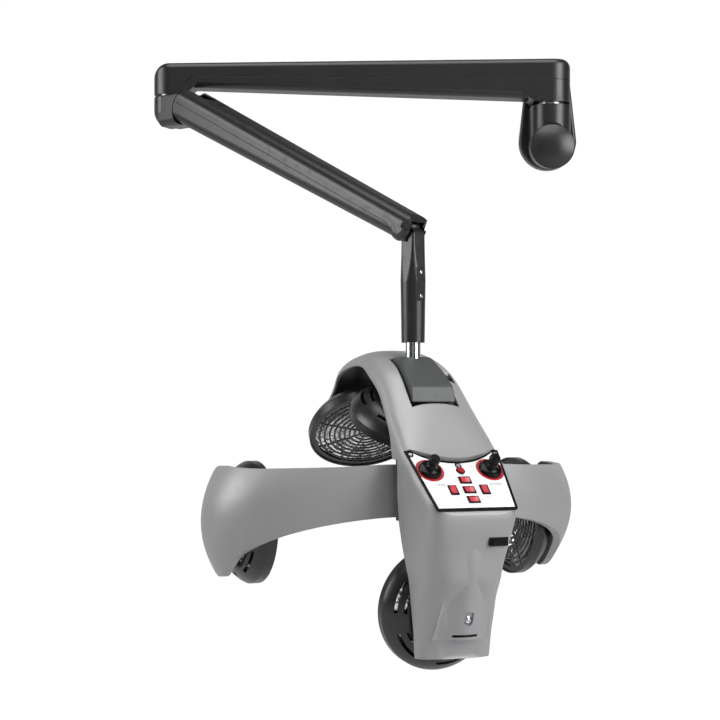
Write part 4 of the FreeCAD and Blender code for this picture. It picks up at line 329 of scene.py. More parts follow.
@dataclass(frozen=True)
class MouldedPlastic:
    """Moulded plastic or powder paint with a fine grain, faint clouding, and edges lightened
    partly as rubbed wear and partly as a painted edge highlight.
    """

    name: str
    colour: Colour
    roughness: float = 0.42
    grain: float = 1500.0
    depth: float = 0.00002
    cloud: float = 0.08
    # Edge lightening: partly rubbed wear, partly a painted edge highlight.
    edge_wear_and_highlight: float = 0.35
    round_edge: float = 0.0008
    coat: float = 0.0
    coat_roughness: float = 0.12
    sparkle: float = 0.0
    metal: float = 0.0
    shine: float = 0.5
    cloud_cells: float = 9.0
    scuff_cells: float = 60.0
    flake_cells: float = 1.4
    edge_gain: float = 6.0
    # Gain and lift of the paler colour used for edge wear, the painted edge highlight and the
    # flakes.
    pale_wear_and_highlight_gain: float = 1.6
    pale_wear_and_highlight_lift: float = 0.03
    grain_gloss: float = 0.10
    scuff_gloss: float = 0.12
    scuff_level: float = 0.3
    edge_gloss: float = 0.08

    def material(self) -> bpy.types.Material:
        """Builds the material.

        Returns:
            The material.
        """
        material, mix = new_recipe(self.name)
        place = mix.place()
        soft = mix.rounded(self.round_edge)
        fine = mix.noise(place, self.grain, *GRAIN_DETAIL)
        scuffs = mix.ramp(mix.noise(place, self.scuff_cells, *SCUFF_DETAIL), *SCUFF_RANGE)
        edge = mix.edges(soft, self.edge_gain)
        base = mix.tint(
            mix.noise(place, self.cloud_cells, *CLOUD_DETAIL),
            shade(self.colour, 1.0 - self.cloud),
            shade(self.colour, 1.0 + self.cloud),
        )
        # Paler colour for rubbed edge wear and the painted edge highlight; the flakes use it too.
        pale_wear_and_highlight = shade(self.colour, self.pale_wear_and_highlight_gain, self.pale_wear_and_highlight_lift)
        if self.sparkle:
            flakes = mix.noise(place, self.grain * self.flake_cells, *FLAKE_DETAIL)
            base = mix.tint(mix.ramp(flakes, *FLAKE_RANGE) * self.sparkle, base, pale_wear_and_highlight)
        gloss = self.roughness + self.grain_gloss * (fine - 0.5)
        gloss = gloss + self.scuff_gloss * (scuffs - self.scuff_level) - self.edge_gloss * edge
        mix.surface(
            {
                # Edges tint paler: partly rubbed wear, partly a painted edge highlight.
                "Base Color": mix.tint(edge * self.edge_wear_and_highlight * (0.5 + 0.5 * scuffs), base, pale_wear_and_highlight),
                "Roughness": gloss,
                "Metallic": self.metal,
                "Specular IOR Level": self.shine,
                "Coat Weight": self.coat,
                "Coat Roughness": self.coat_roughness,
                "Normal": mix.relief(fine, self.depth, soft),
            }
        )
        return material


class Lay(Enum):
    """Which way a metal's finish lines run."""

    ALONG_Z = (0.04, 0.04, 1.0)
    ROUND_Z = (1.0, 1.0, 0.03)
    EVEN = (1.0, 1.0, 1.0)


@dataclass(frozen=True)
class DrawnMetal:
    """Bare, plated or polished metal with fine finish lines and a few handling marks."""

    name: str
    colour: Colour
    roughness: float = 0.3
    lay: Lay = Lay.EVEN
    line_scale: float = 2200.0
    depth: float = 0.000006
    marks: float = 0.25
    mark_cells: float = 45.0
    mark_dulling: float = 0.78
    line_tint: float = 0.15
    line_gloss: float = 0.10
    mark_gloss: float = 0.15
    round_edge: float = 0.0004

    def material(self) -> bpy.types.Material:
        """Builds the material.

        Returns:
            The material.
        """
        material, mix = new_recipe(self.name)
        place = mix.place()
        stretch = {"operation": "MULTIPLY"}
        along = mix.node("ShaderNodeVectorMath", stretch, {0: place, 1: self.lay.value})
        soft = mix.rounded(self.round_edge)
        lines = mix.noise(along, self.line_scale, *LINE_DETAIL)
        smears = mix.ramp(mix.noise(place, self.mark_cells, *SMEAR_DETAIL), *SMEAR_RANGE)
        dulling = smears * self.marks + self.line_tint * lines
        gloss = self.roughness + self.line_gloss * (lines - 0.5)
        mix.surface(
            {
                "Base Color": mix.tint(
                    dulling, self.colour, shade(self.colour, self.mark_dulling)
                ),
                "Roughness": gloss + self.mark_gloss * self.marks * smears,
                "Metallic": 1.0,
                "Normal": mix.relief(lines, self.depth, soft),
            }
        )
        return material


@dataclass(frozen=True)
class LensPlastic:
    """Coloured lens plastic that is deeper in places, with a faint painted glow."""

    name: str
    colour: Colour
    deep: Colour
    painted_glow: float = 0.02
    roughness: float = 0.34
    shine: float = 0.10
    rib_cells: float = 1100.0
    rib_gloss: float = 0.10
    body_cells: float = 90.0
    depth: float = 0.00002
    round_edge: float = 0.0005

    def material(self) -> bpy.types.Material:
        """Builds the material.

        Returns:
            The material.
        """
        material, mix = new_recipe(self.name)
        place = mix.place()
        soft = mix.rounded(self.round_edge)
        ribs = mix.noise(place, self.rib_cells, *RIB_DETAIL)
        body = mix.noise(place, self.body_cells, *BODY_DETAIL)
        colour = mix.tint(mix.ramp(body, *BODY_RANGE), self.deep, self.colour)
        mix.surface(
            {
                "Base Color": colour,
                "Roughness": self.roughness + self.rib_gloss * ribs,
                # A faint painted glow; the lens is no lamp.
                "Emission Color": colour,
                "Emission Strength": self.painted_glow,
                "Specular IOR Level": self.shine,
                "Normal": mix.relief(ribs, self.depth, soft),
            }
        )
        return material


@dataclass(frozen=True)
class PrintedInk:
    """A thin printed ink, slightly uneven."""

    name: str
    colour: Colour
    roughness: float = 0.38
    speck_cells: float = 2600.0
    speck_gloss: float = 0.1
    pale_gain: float = 1.15
    pale_lift: float = 0.01
    depth: float = 0.00001

    def material(self) -> bpy.types.Material:
        """Builds the material.

        Returns:
            The material.
        """
        material, mix = new_recipe(self.name)
        speck = mix.noise(mix.place(), self.speck_cells, *SPECK_DETAIL)
        pale = shade(self.colour, self.pale_gain, self.pale_lift)
        mix.surface(
            {
                "Base Color": mix.tint(mix.ramp(speck, *SPECK_RANGE), self.colour, pale),
                "Roughness": self.roughness + self.speck_gloss * speck,
                "Normal": mix.relief(speck, self.depth),
            }
        )
        return material


class Finish(Enum):
    """Every finish on the processor."""

    ARM = MouldedPlastic(
        "arm_charcoal",
        (0.013, 0.0133, 0.014),
        roughness=0.36,
        grain=1300.0,
        depth=0.00004,
        cloud=0.10,
        edge_wear_and_highlight=0.30,
        sparkle=0.10,
    )
    STEEL = DrawnMetal("plain_steel", (0.50, 0.50, 0.51), roughness=0.38)
    TURNED = DrawnMetal("turned_steel", (0.66, 0.66, 0.68), roughness=0.26, lay=Lay.ROUND_Z)
    TUBE = DrawnMetal(
        "chromed_tube",
        (0.74, 0.75, 0.76),
        roughness=0.16,
        lay=Lay.ALONG_Z,
        depth=0.000002,
        marks=0.12,
    )
    BUSH = MouldedPlastic(
        "bush_natural", (0.66, 0.64, 0.56), roughness=0.5, grain=1800.0, depth=0.00001, edge_wear_and_highlight=0.1
    )
    HUB = MouldedPlastic(
        "hub_dark_grey",
        (0.048, 0.051, 0.051),
        roughness=0.46,
        grain=1700.0,
        depth=0.00003,
        cloud=0.07,
        edge_wear_and_highlight=0.20,
        round_edge=0.0030,
    )
    SHELL = MouldedPlastic(
        "shell_silver_grey",
        (0.29, 0.29, 0.295),
        roughness=0.46,
        grain=1900.0,
        depth=0.00001,
        cloud=0.03,
        edge_wear_and_highlight=0.15,
        round_edge=0.0012,
        sparkle=0.1,
        metal=0.2,
    )
    LINER = MouldedPlastic(
        "liner_charcoal", (0.022, 0.0225, 0.024), roughness=0.40, depth=0.00003, edge_wear_and_highlight=0.3
    )
    KNOB = MouldedPlastic(
        "knob_black",
        (0.003, 0.003, 0.0033),
        roughness=0.30,
        grain=2200.0,
        depth=0.00001,
        cloud=0.1,
        edge_wear_and_highlight=0.04,
        shine=0.18,
    )
    PLATE = MouldedPlastic(
        "plate_white",
        (0.84, 0.85, 0.86),
        roughness=0.3,
        grain=2400.0,
        depth=0.000005,
        cloud=0.012,
        edge_wear_and_highlight=0.1,
        round_edge=0.0004,
        coat=0.3,
    )
    RED = LensPlastic("rocker_red", (0.27, 0.003, 0.004), (0.12, 0.0012, 0.0016))
    LENS = LensPlastic("reset_lens", (0.36, 0.02, 0.025), (0.16, 0.006, 0.008))
    LAMP = MouldedPlastic(
        "lamp_black",
        (0.012, 0.012, 0.0135),
        roughness=0.34,
        depth=0.00003,
        cloud=0.12,
        round_edge=0.0012,
        sparkle=0.08,
    )
    GUARD = MouldedPlastic(
        "guard_black", (0.012, 0.012, 0.0135), roughness=0.30, cloud=0.12, edge_wear_and_highlight=0.4
    )
    REFLECTOR = DrawnMetal(
        "reflector_bright",
        (0.80, 0.80, 0.81),
        roughness=0.16,
        line_scale=46.0,
        depth=0.0034,
        marks=0.5,
    )
    INK_RED = PrintedInk("ink_red", (0.38, 0.008, 0.016))
    INK_DARK_RED = PrintedInk("ink_dark_red", (0.20, 0.01, 0.02))
    INK_GREY = PrintedInk("ink_grey", (0.035, 0.035, 0.04))

    def paint(self, piece: bpy.types.Object) -> bpy.types.Object:
        """Gives a piece this finish.

        Args:
            piece: The object to finish.

        Returns:
            The same object.
        """
        material = bpy.data.materials.get(self.value.name) or self.value.material()
        if piece.material_slots:
            for held in piece.material_slots:
                held.material = material
        else:
            piece.data.materials.append(material)
        return piece


SLOT_FINISH: dict[str, Finish] = {
    "arm_paint": Finish.ARM,
    "steel": Finish.STEEL,
    "bright_steel": Finish.TURNED,
    "chrome_tube": Finish.TUBE,
    "bush_plastic": Finish.BUSH,
    "hub_plastic": Finish.HUB,
    "shell_plastic": Finish.SHELL,
    "liner_plastic": Finish.LINER,
    "knob_plastic": Finish.KNOB,
    "panel_white": Finish.PLATE,
    "rocker_red": Finish.RED,
    "lens_green": Finish.LENS,
    "lamp_plastic": Finish.LAMP,
    "grille_wire": Finish.GUARD,
    "heater_metal": Finish.REFLECTOR,
}


class Mould:
    """A mesh being built in a local frame, in millimetres."""

    def __init__(self, frame: Matrix) -> None:
        """Starts an empty mesh.

        Args:
            frame: Where the local origin and axes lie, in metres.
        """
        self.frame = frame
        self.mesh = bmesh.new()

    def lathe(
        self,
        profile: Sequence[tuple[float, float]],
        segments: int,
        centre: Point = (0.0, 0.0, 0.0),
        closed: bool = False,
    ) -> "Mould":
        """Turns a profile about the local Z axis.

        Args:
            profile: Radius and height of each point, along the outside.
            segments: Steps round the axis.
            centre: Where the axis stands.
            closed: Whether the profile's last point joins its first.

        Returns:
            This mould.
        """
        rings = []
        for step in range(segments):
            angle = TAU * step / segments
            ring = []
            for radius, height in profile:
                spot = Vector((radius * math.cos(angle), radius * math.sin(angle), height))
                ring.append(self.mesh.verts.new(spot + Vector(centre)))
            rings.append(ring)
        count = len(profile)
        spans = count if closed else count - 1
        for step in range(segments):
            here, there = rings[step], rings[(step + 1) % segments]
            for index in range(spans):
                after = (index + 1) % count
                self.mesh.faces.new((here[index], there[index], there[after], here[after]))
        return self

    def plate(self, outline: Sequence[tuple[float, float]], low: float, high: float) -> "Mould":
        """Adds a flat plate with a given outline.

        Args:
            outline: The corners, anticlockwise.
            low: The underside's height.
            high: The top's height.

        Returns:
            This mould.
        """
        under = [self.mesh.verts.new((x, y, low)) for x, y in outline]
        over = [self.mesh.verts.new((x, y, high)) for x, y in outline]
        self.mesh.faces.new(list(reversed(under)))
        self.mesh.faces.new(over)
        for index in range(len(outline)):
            after = (index + 1) % len(outline)
            self.mesh.faces.new((under[index], under[after], over[after], over[index]))
        return self

    def bar(self, rows: Sequence[Sequence[Point]]) -> "Mould":
        """Skins rows of points, each row a closed loop, and caps the ends.

        Args:
            rows: Loops with the same number of points.

        Returns:
            This mould.
        """
        made = [[self.mesh.verts.new(spot) for spot in row] for row in rows]
        count = len(made[0])
        for here, there in zip(made, made[1:]):
            for index in range(count):
                after = (index + 1) % count
                self.mesh.faces.new((here[index], here[after], there[after], there[index]))
        self.mesh.faces.new(list(reversed(made[0])))
        self.mesh.faces.new(made[-1])
        return self

    def rail(
        self,
        path: Sequence[tuple[float, float]],
        inner: float,
        outer: float,
        low: float,
        high: float,
    ) -> "Mould":
        """Lays a flat rail along a closed, anticlockwise path.

        Args:
            path: The corners of the path.
            inner: How far the rail reaches inside the path.
            outer: How far it reaches outside.
            low: The underside's height.
            high: The top's height.

        Returns:
            This mould.
        """
        loops: list[list[bmesh.types.BMVert]] = [[], [], [], []]
        for index, spot in enumerate(path):
            here = Vector(spot)
            before = (here - Vector(path[index - 1])).normalized()
            after = (Vector(path[(index + 1) % len(path)]) - here).normalized()
            away = Vector((before.y + after.y, -before.x - after.x)).normalized()
            stretch = 1.0 / max(LEAST_MITRE, away.dot(Vector((after.y, -after.x))))
            near = here - away * inner * stretch
            far = here + away * outer * stretch
            for loop, flat, height in zip(loops, (near, far, far, near), (low, low, high, high)):
                loop.append(self.mesh.verts.new((flat.x, flat.y, height)))
        for index in range(len(path)):
            step = (index + 1) % len(path)
            for side in range(4):
                this, other = loops[side], loops[(side + 1) % 4]
                self.mesh.faces.new((this[index], this[step], other[step], other[index]))
        return self

    def finish(
        self,
        name: str,
        body: str,
        slot: str,
        finish: Finish,
        bevel: float = 0.0,
        smooth: bool = True,
    ) -> bpy.types.Object:
        """Turns the mesh into a piece that rides on a body.

        Args:
            name: The piece's name.
            body: The CAD body it moves with.
            slot: A record material slot name; not used.
            finish: Its finish.
            bevel: The edge rounding in millimetres.
            smooth: Whether its faces are smooth shaded.

        Returns:
            The piece.
        """
        bmesh.ops.recalc_face_normals(self.mesh, faces=self.mesh.faces)
        scale = self.frame @ Matrix.Scale(MM, 4)
        bmesh.ops.transform(self.mesh, matrix=scale, verts=self.mesh.verts)
        data = bpy.data.meshes.new(name)
        self.mesh.to_mesh(data)
        self.mesh.free()
        if smooth:
            data.shade_smooth()
        piece = bpy.data.objects.new(name, data)
        bpy.context.scene.collection.objects.link(piece)
        if bevel:
            rounding = piece.modifiers.new("rounding", "BEVEL")
            rounding.width = bevel * MM
            rounding.segments = 2
            rounding.limit_method = "ANGLE"
            rounding.angle_limit = SHARP_ANGLE
            rounding.harden_normals = True
        finish.paint(piece)
        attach(piece, body)
        LOG.info("made %s with %d faces on %s", name, len(data.polygons), body)
        return piece


def placed(x: float, y: float, z: float) -> Matrix:
    """Returns a move by millimetres."""
    return Matrix.Translation(Vector((x, y, z)) * MM)


def turned(degrees: float, axis: str) -> Matrix:
    """Returns a turn about X, Y or Z."""
    return Matrix.Rotation(math.radians(degrees), 4, axis)


def aimed(aim: Point) -> Matrix:
    """Returns the turn that points Z along a direction."""
    return Vector((0.0, 0.0, 1.0)).rotation_difference(Vector(aim)).to_matrix().to_4x4()


@dataclass
class Layout:
    """Where the processor's frames stand, in millimetres and degrees."""

    elbow: Point = (-735.0, -90.0, 0.0)
    arm_azimuth: float = -46.4
    arm_pitch: float = 24.3
    link: float = 623.0
    lift_offset: float = 80.0
    lift_z: float = 42.5
    tip_offset: float = 12.0
    head_yaw: float = 24.0
    head_drop: float = 503.0
    panel_foot: Point = (0.0, -238.0, 33.0)
    panel_slope: float = 43.7

    def knuckle(self) -> Matrix:
        """Returns the elbow knuckle's frame."""
        return placed(*self.elbow) @ turned(self.arm_azimuth, "Z")

    def arm(self) -> Matrix:
        """Returns the lower arm's frame, along its length."""
        pivot = placed(self.lift_offset, 0.0, self.lift_z)
        return self.knuckle() @ pivot @ turned(self.arm_pitch, "Y")

    def post(self) -> Matrix:
        """Returns the post's frame, at the tip pin's height."""
        slope = math.radians(self.arm_pitch)
        reach = self.lift_offset + self.link * math.cos(slope) + self.tip_offset
        return self.knuckle() @ placed(reach, 0.0, self.lift_z - self.link * math.sin(slope))

    def head(self) -> Matrix:
        """Returns the head's frame, under the post."""
        spot = self.post().translation / MM
        return placed(spot.x, spot.y, spot.z - self.head_drop) @ turned(self.head_yaw, "Z")

    def panel(self) -> Matrix:
        """Returns the control panel's frame, with Z out of its face."""
        return self.head() @ placed(*self.panel_foot) @ turned(self.panel_slope, "X")


def lettering(text: str, size: float) -> bmesh.types.BMesh:
    """Makes flat letters centred on the origin.

    Args:
        text: The words.
        size: The capital height in millimetres.

    Returns:
        The letters' mesh, in millimetres.
    """
    curve = bpy.data.curves.new("letters", "FONT")
    curve.body = text
    curve.align_x = "CENTER"
    curve.align_y = "CENTER"
    curve.size = size * CAPITAL_HEIGHT
    curve.resolution_u = 2
    holder = bpy.data.objects.new("letters", curve)
    bpy.context.scene.collection.objects.link(holder)
    bpy.context.view_layer.update()
    graph = bpy.context.evaluated_depsgraph_get()
    data = bpy.data.meshes.new_from_object(holder.evaluated_get(graph))
    letters = bmesh.new()
    letters.from_mesh(data)
    bpy.data.objects.remove(holder)
    bpy.data.curves.remove(curve)
    bpy.data.meshes.remove(data)
    return letters


@dataclass(frozen=True)
class Caption:
    """A word on the panel, centred on a point of its plane."""

    text: str
    u: float
    v: float
    height: float


@dataclass(frozen=True)
class RockerSign:
    """Where a rocker stands on the panel, and whether its ON is above its OFF."""

    u: float
    v: float
    upright: bool = False
    reach: float = 14.5
    upright_extra: float = 0.6
    height: float = 2.4

    def captions(self) -> list[Caption]:
        """Words the rocker's two ends.

        Returns:
            Its ON and OFF.
        """
        reach = self.reach
        if self.upright:
            extra = self.upright_extra
            return [
                Caption("ON", self.u, self.v + reach + extra, self.height),
                Caption("OFF", self.u, self.v - reach - extra, self.height),
            ]
        return [
            Caption("ON", self.u - reach, self.v, self.height),
            Caption("OFF", self.u + reach, self.v, self.height),
        ]


@dataclass
class ControlPanel:
    """What is laid and printed on the white panel: gasket, dial scales and words."""

    layout: Layout
    dial_u: float = 54.5
    dial_v: float = 86.0
    plate_top: float = 1.6
    film: float = 0.06
    foot_half: float = 69.0
    foot_inset: float = 1.0
    top_half: float = 82.0
    length: float = 128.0
    dip: float = 102.0
    ear: float = 9.0
    scoop_steps: int = 24
    gasket_inside: float = 1.2
    gasket_outside: float = 2.4
    gasket_below: float = 1.2
    gasket_above: float = 0.3
    gasket_rounding: float = 0.3
    screw_spots: tuple[tuple[float, float], ...] = ((-77.5, 122.0), (0.0, 96.0), (77.5, 122.0))
    eye_inner: float = 3.4
    eye_outer: float = 6.2
    eye_steps: int = 32
    ring_inner: float = 15.0
    ring_outer: float = 24.4
    ring_steps: int = 72
    tick_count: int = 21
    tick_start: float = 240.0
    tick_sweep: float = 300.0
    tick_margin: float = 0.5
    tick_film: float = 0.04
    long_tick: tuple[float, float] = (3.2, 0.30)
    short_tick: tuple[float, float] = (1.8, 0.2)
    dial_word_v: float = 53.0
    dial_word_height: float = 4.4
    timer_word_shift: float = 8.0
    power_word_shift: float = -2.0
    small_words: tuple[Caption, ...] = (
        Caption("RESET", 0.0, 74.6, 2.6),
        Caption("ON", 0.0, 91.6, 2.2),
        Caption("MAX", 23.0, 93.0, 2.8),
        Caption("MIN", 23.0, 83.0, 2.8),
    )
    rocker_signs: tuple[RockerSign, ...] = (
        RockerSign(0.0, 62.8),
        RockerSign(-28.3, 41.2, upright=True),
        RockerSign(0.0, 41.2),
        RockerSign(28.3, 41.2, upright=True),
        RockerSign(0.0, 19.6),
    )

    def build(self) -> None:
        """Prints the panel."""
        frame = self.layout.panel()
        for side, name in ((-1.0, "timer"), (1.0, "heat")):
            dial = frame @ placed(side * self.dial_u, self.dial_v, 0.0)
            self._scale_ring(dial, name)
            self._scale_ticks(dial, name)
        self._words(frame)
        self._gasket(frame)

    def outline(self) -> list[tuple[float, float]]:
        """Works out the plate's outline: straight sides, ears and a scooped top.

        Returns:
            The corners, anticlockwise, in the panel's plane.
        """
        tip = self.top_half - self.ear
        drop = self.length - self.dip
        radius = (tip * tip + drop * drop) / (2.0 * drop)
        reach = math.asin(tip / radius)
        scoop = []
        for step in range(self.scoop_steps + 1):
            angle = reach * (1.0 - step / (0.5 * self.scoop_steps))
            rise = radius * (1.0 - math.cos(angle))
            scoop.append((radius * math.sin(angle), self.dip + rise))
        return [
            (-self.foot_half, self.foot_inset),
            (self.foot_half, self.foot_inset),
            (self.top_half, self.length),
            *scoop,
            (-self.top_half, self.length),
        ]

    def _gasket(self, frame: Matrix) -> None:
        """Lays the black gasket round the plate, with an eye for each of its screws.

        Args:
            frame: The panel's frame.
        """
        top = self.plate_top
        high = top + self.gasket_above
        rail = Mould(frame)
        rail.rail(
            self.outline(), self.gasket_inside, self.gasket_outside, top - self.gasket_below, high
        )
        inner, outer = self.eye_inner, self.eye_outer
        for u, v in self.screw_spots:
            eye = ((inner, top), (outer, top), (outer, high), (inner, high))
            rail.lathe(eye, self.eye_steps, (u, v, 0.0), closed=True)
        rounding = self.gasket_rounding
        rail.finish(
            "panel_gasket", "spine", "knob_plastic", Finish.KNOB, bevel=rounding, smooth=False
        )

    def _scale_ring(self, frame: Matrix, name: str) -> None:
        """Prints one dial's red ring.

        Args:
            frame: The dial's frame.
            name: The dial's name.
        """
        low, high = self.plate_top, self.plate_top + self.film
        inner, outer = self.ring_inner, self.ring_outer
        profile = ((inner, low), (outer, low), (outer, high), (inner, high))
        ring = Mould(frame)
        ring.lathe(profile, self.ring_steps, closed=True)
        ring.finish(f"{name}_scale_ring", "spine", "rocker_red", Finish.INK_RED, smooth=False)

    def _scale_ticks(self, frame: Matrix, name: str) -> None:
        """Prints one dial's ticks, long and short in turn.

        Args:
            frame: The dial's frame.
            name: The dial's name.
        """
        low = self.plate_top + self.film
        ticks = Mould(frame)
        for step in range(self.tick_count):
            angle = math.radians(
                self.tick_start - self.tick_sweep * step / (self.tick_count - 1)
            )
            length, half = self.short_tick if step % 2 else self.long_tick
            along = Vector((math.cos(angle), math.sin(angle)))
            across = Vector((-along.y, along.x)) * half
            near = along * (self.ring_outer - length)
            far = along * (self.ring_outer - self.tick_margin)
            corners = (near - across, far - across, far + across, near + across)
            ticks.plate([tuple(corner) for corner in corners], low, low + self.tick_film)
        ticks.finish(
            f"{name}_scale_ticks", "spine", "rocker_red", Finish.INK_DARK_RED, smooth=False
        )

    def _captions(self) -> list[Caption]:
        """Lists the generic words of the dials, the reset button and the rockers.

        Returns:
            Every word on the panel.
        """
        timer_u = self.timer_word_shift - self.dial_u
        power_u = self.power_word_shift + self.dial_u
        captions = [
            Caption("TIMER", timer_u, self.dial_word_v, self.dial_word_height),
            Caption("POWER", power_u, self.dial_word_v, self.dial_word_height),
            *self.small_words,
        ]
        for sign in self.rocker_signs:
            captions.extend(sign.captions())
        return captions

    def _words(self, frame: Matrix) -> None:
        """Prints the generic words.

        Args:
            frame: The panel's frame.
        """
        sheet = Mould(frame)
        for caption in self._captions():
            letters = lettering(caption.text, caption.height)
            spot = Vector((caption.u, caption.v, self.plate_top + self.film))
            bmesh.ops.transform(letters, matrix=Matrix.Translation(spot), verts=letters.verts)
            data = bpy.data.meshes.new("word")
            letters.to_mesh(data)
            letters.free()
            sheet.mesh.from_mesh(data)
            bpy.data.meshes.remove(data)
        sheet.finish("panel_words", "spine", "panel_white", Finish.INK_GREY, smooth=False)


@dataclass
class LampGuard:
    """Domed guard of flat rings and spokes over one lamp's mouth."""

    name: str
    body: str
    spot: Point
    aim: Point
    frame_radius: float = 101.2
    seat: float = -3.0
    crown: float = 4.0
    rings: int = 9
    first_ring: float = 14.0
    ring_margin: float = 16.0
    ring_share: float = 0.20
    ring_depth: float = 2.2
    ring_steps: int = 72
    rim_half: float = 4.4
    hub_radius: float = 8.5
    hub_floor: float = -5.0
    hub_steps: int = 24
    centre: float = 0.01
    spokes: int = 8
    spoke_start: float = 6.0
    spoke_margin: float = 9.0
    spoke_half: float = 1.3
    spoke_depth: float = 2.6
    spoke_sink: float = 0.3
    spoke_steps: int = 6
    rounding: float = 0.4

    def build(self, layout: Layout) -> None:
        """Makes the guard in place of its plain solid.

        Args:
            layout: Where the frames stand.
        """
        mould = Mould(layout.head() @ placed(*self.spot) @ aimed(self.aim))
        pitch = (self.frame_radius - self.ring_margin) / (self.rings + 0.5)
        for step in range(self.rings):
            self._ring(mould, self.first_ring + pitch * step, pitch * self.ring_share)
        self._ring(mould, self.frame_radius - self.rim_half, self.rim_half)
        self._hub(mould)
        for step in range(self.spokes):
            self._spoke(mould, TAU * (step + 0.5) / self.spokes)
        piece = mould.finish(
            f"{self.name}_guard", self.body, "grille_wire", Finish.GUARD, bevel=self.rounding
        )
        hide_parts(f"{self.name}_grille")

    def height(self, radius: float) -> float:
        """Returns how high the crowned face stands at a radius."""
        return self.seat + self.crown * (1.0 - (radius / self.frame_radius) ** 2)

    def _ring(self, mould: Mould, radius: float, half: float) -> None:
        """Adds one ring.

        Args:
            mould: The mesh being built.
            radius: The ring's middle radius.
            half: Half its width.
        """
        top = self.height(radius)
        low = top - self.ring_depth
        inner, outer = radius - half, radius + half
        profile = ((inner, low), (outer, low), (outer, top), (inner, top))
        mould.lathe(profile, self.ring_steps, closed=True)

    def _hub(self, mould: Mould) -> None:
        """Adds the round plate in the middle.

        Args:
            mould: The mesh being built.
        """
        edge, floor = self.hub_radius, self.hub_floor
        profile = (
            (self.centre, floor),
            (edge, floor),
            (edge, self.height(edge)),
            (self.centre, self.height(0.0)),
        )
        mould.lathe(profile, self.hub_steps)

    def _spoke(self, mould: Mould, angle: float) -> None:
        """Adds one spoke that follows the crown.

        Args:
            mould: The mesh being built.
            angle: Its direction.
        """
        along = Vector((math.cos(angle), math.sin(angle), 0.0))
        across = Vector((-along.y, along.x, 0.0)) * self.spoke_half
        length = self.frame_radius - self.spoke_margin
        rows = []
        for step in range(self.spoke_steps + 1):
            radius = self.spoke_start + length * step / self.spoke_steps
            top = self.height(radius) - self.spoke_sink
            low = top - self.spoke_depth
            row = []
            for side, height in ((-1.0, low), (1.0, low), (1.0, top), (-1.0, top)):
                spot = along * radius + across * side
                row.append((spot.x, spot.y, height))
            rows.append(row)
        mould.bar(rows)


GUARDS = (
    LampGuard("nape", "spine", (0.0, -83.5, -136.0), (0.0, 1.0, 0.13)),
    LampGuard("crown", "spine", (0.0, 16.0, 167.0), (0.0, 0.47, -0.88)),
    LampGuard("fore", "spine", (0.0, 190.0, 150.0), (-0.10, -0.61, -0.785)),
    LampGuard("left", "left_wing", (-244.0, 108.0, 0.0), (1.0, 0.0, 0.0)),
    LampGuard("right", "right_wing", (244.0, 108.0, 0.0), (-1.0, 0.0, 0.0)),
)


@dataclass
class Fasteners:
    """The bright screw heads on the post and low on the spine's front."""

    layout: Layout
    cover_face: float = 19.0
    post_drops: tuple[float, ...] = (79.5, 120.0)
    post_head: tuple[tuple[float, float], ...] = (
        (3.0, -0.4),
        (3.0, 0.6),
        (2.2, 1.3),
        (1.2, 1.5),
        (1.0, 0.7),
        (0.01, 0.7),
    )
    post_steps: int = 24
    cup_spot: Point = (0.0, -203.5, -147.0)
    cup_aim: Point = (0.0, -0.957, -0.290)
    cup_head: tuple[tuple[float, float], ...] = (
        (4.3, 2.0),
        (4.3, 3.0),
        (3.7, 3.9),
        (2.2, 4.2),
        (1.9, 3.9),
        (1.9, 2.6),
        (0.01, 2.6),
    )
    cup_steps: int = 32

    def build(self) -> None:
        """Adds the two screws of the post's cover plate and the one in the cup washer."""
        for index, drop in enumerate(self.post_drops):
            spot = placed(self.cover_face, 0.0, -drop)
            mould = Mould(self.layout.post() @ spot @ turned(90.0, "Y"))
            mould.lathe(self.post_head, self.post_steps)
            mould.finish(f"post_screw_{index}", "post", "bright_steel", Finish.TURNED)
        mould = Mould(self.layout.head() @ placed(*self.cup_spot) @ aimed(self.cup_aim))
        mould.lathe(self.cup_head, self.cup_steps)
        mould.finish("cup_screw_head", "spine", "bright_steel", Finish.TURNED)


@dataclass(frozen=True)
class SoftBox:
    """A square area lamp: its place and aim in metres, its side and its power in watts."""

    name: str
    spot: Point
    target: Point
    side: float
    power: float

    def build(self) -> None:
        """Hangs the lamp."""
        data = bpy.data.lights.new(self.name, "AREA")
        data.size = self.side
        data.energy = self.power
        lamp = bpy.data.objects.new(self.name, data)
        aim = Vector(self.target) - Vector(self.spot)
        lamp.location = self.spot
        lamp.rotation_euler = aim.to_track_quat("-Z", "Y").to_euler()
        bpy.context.scene.collection.objects.link(lamp)


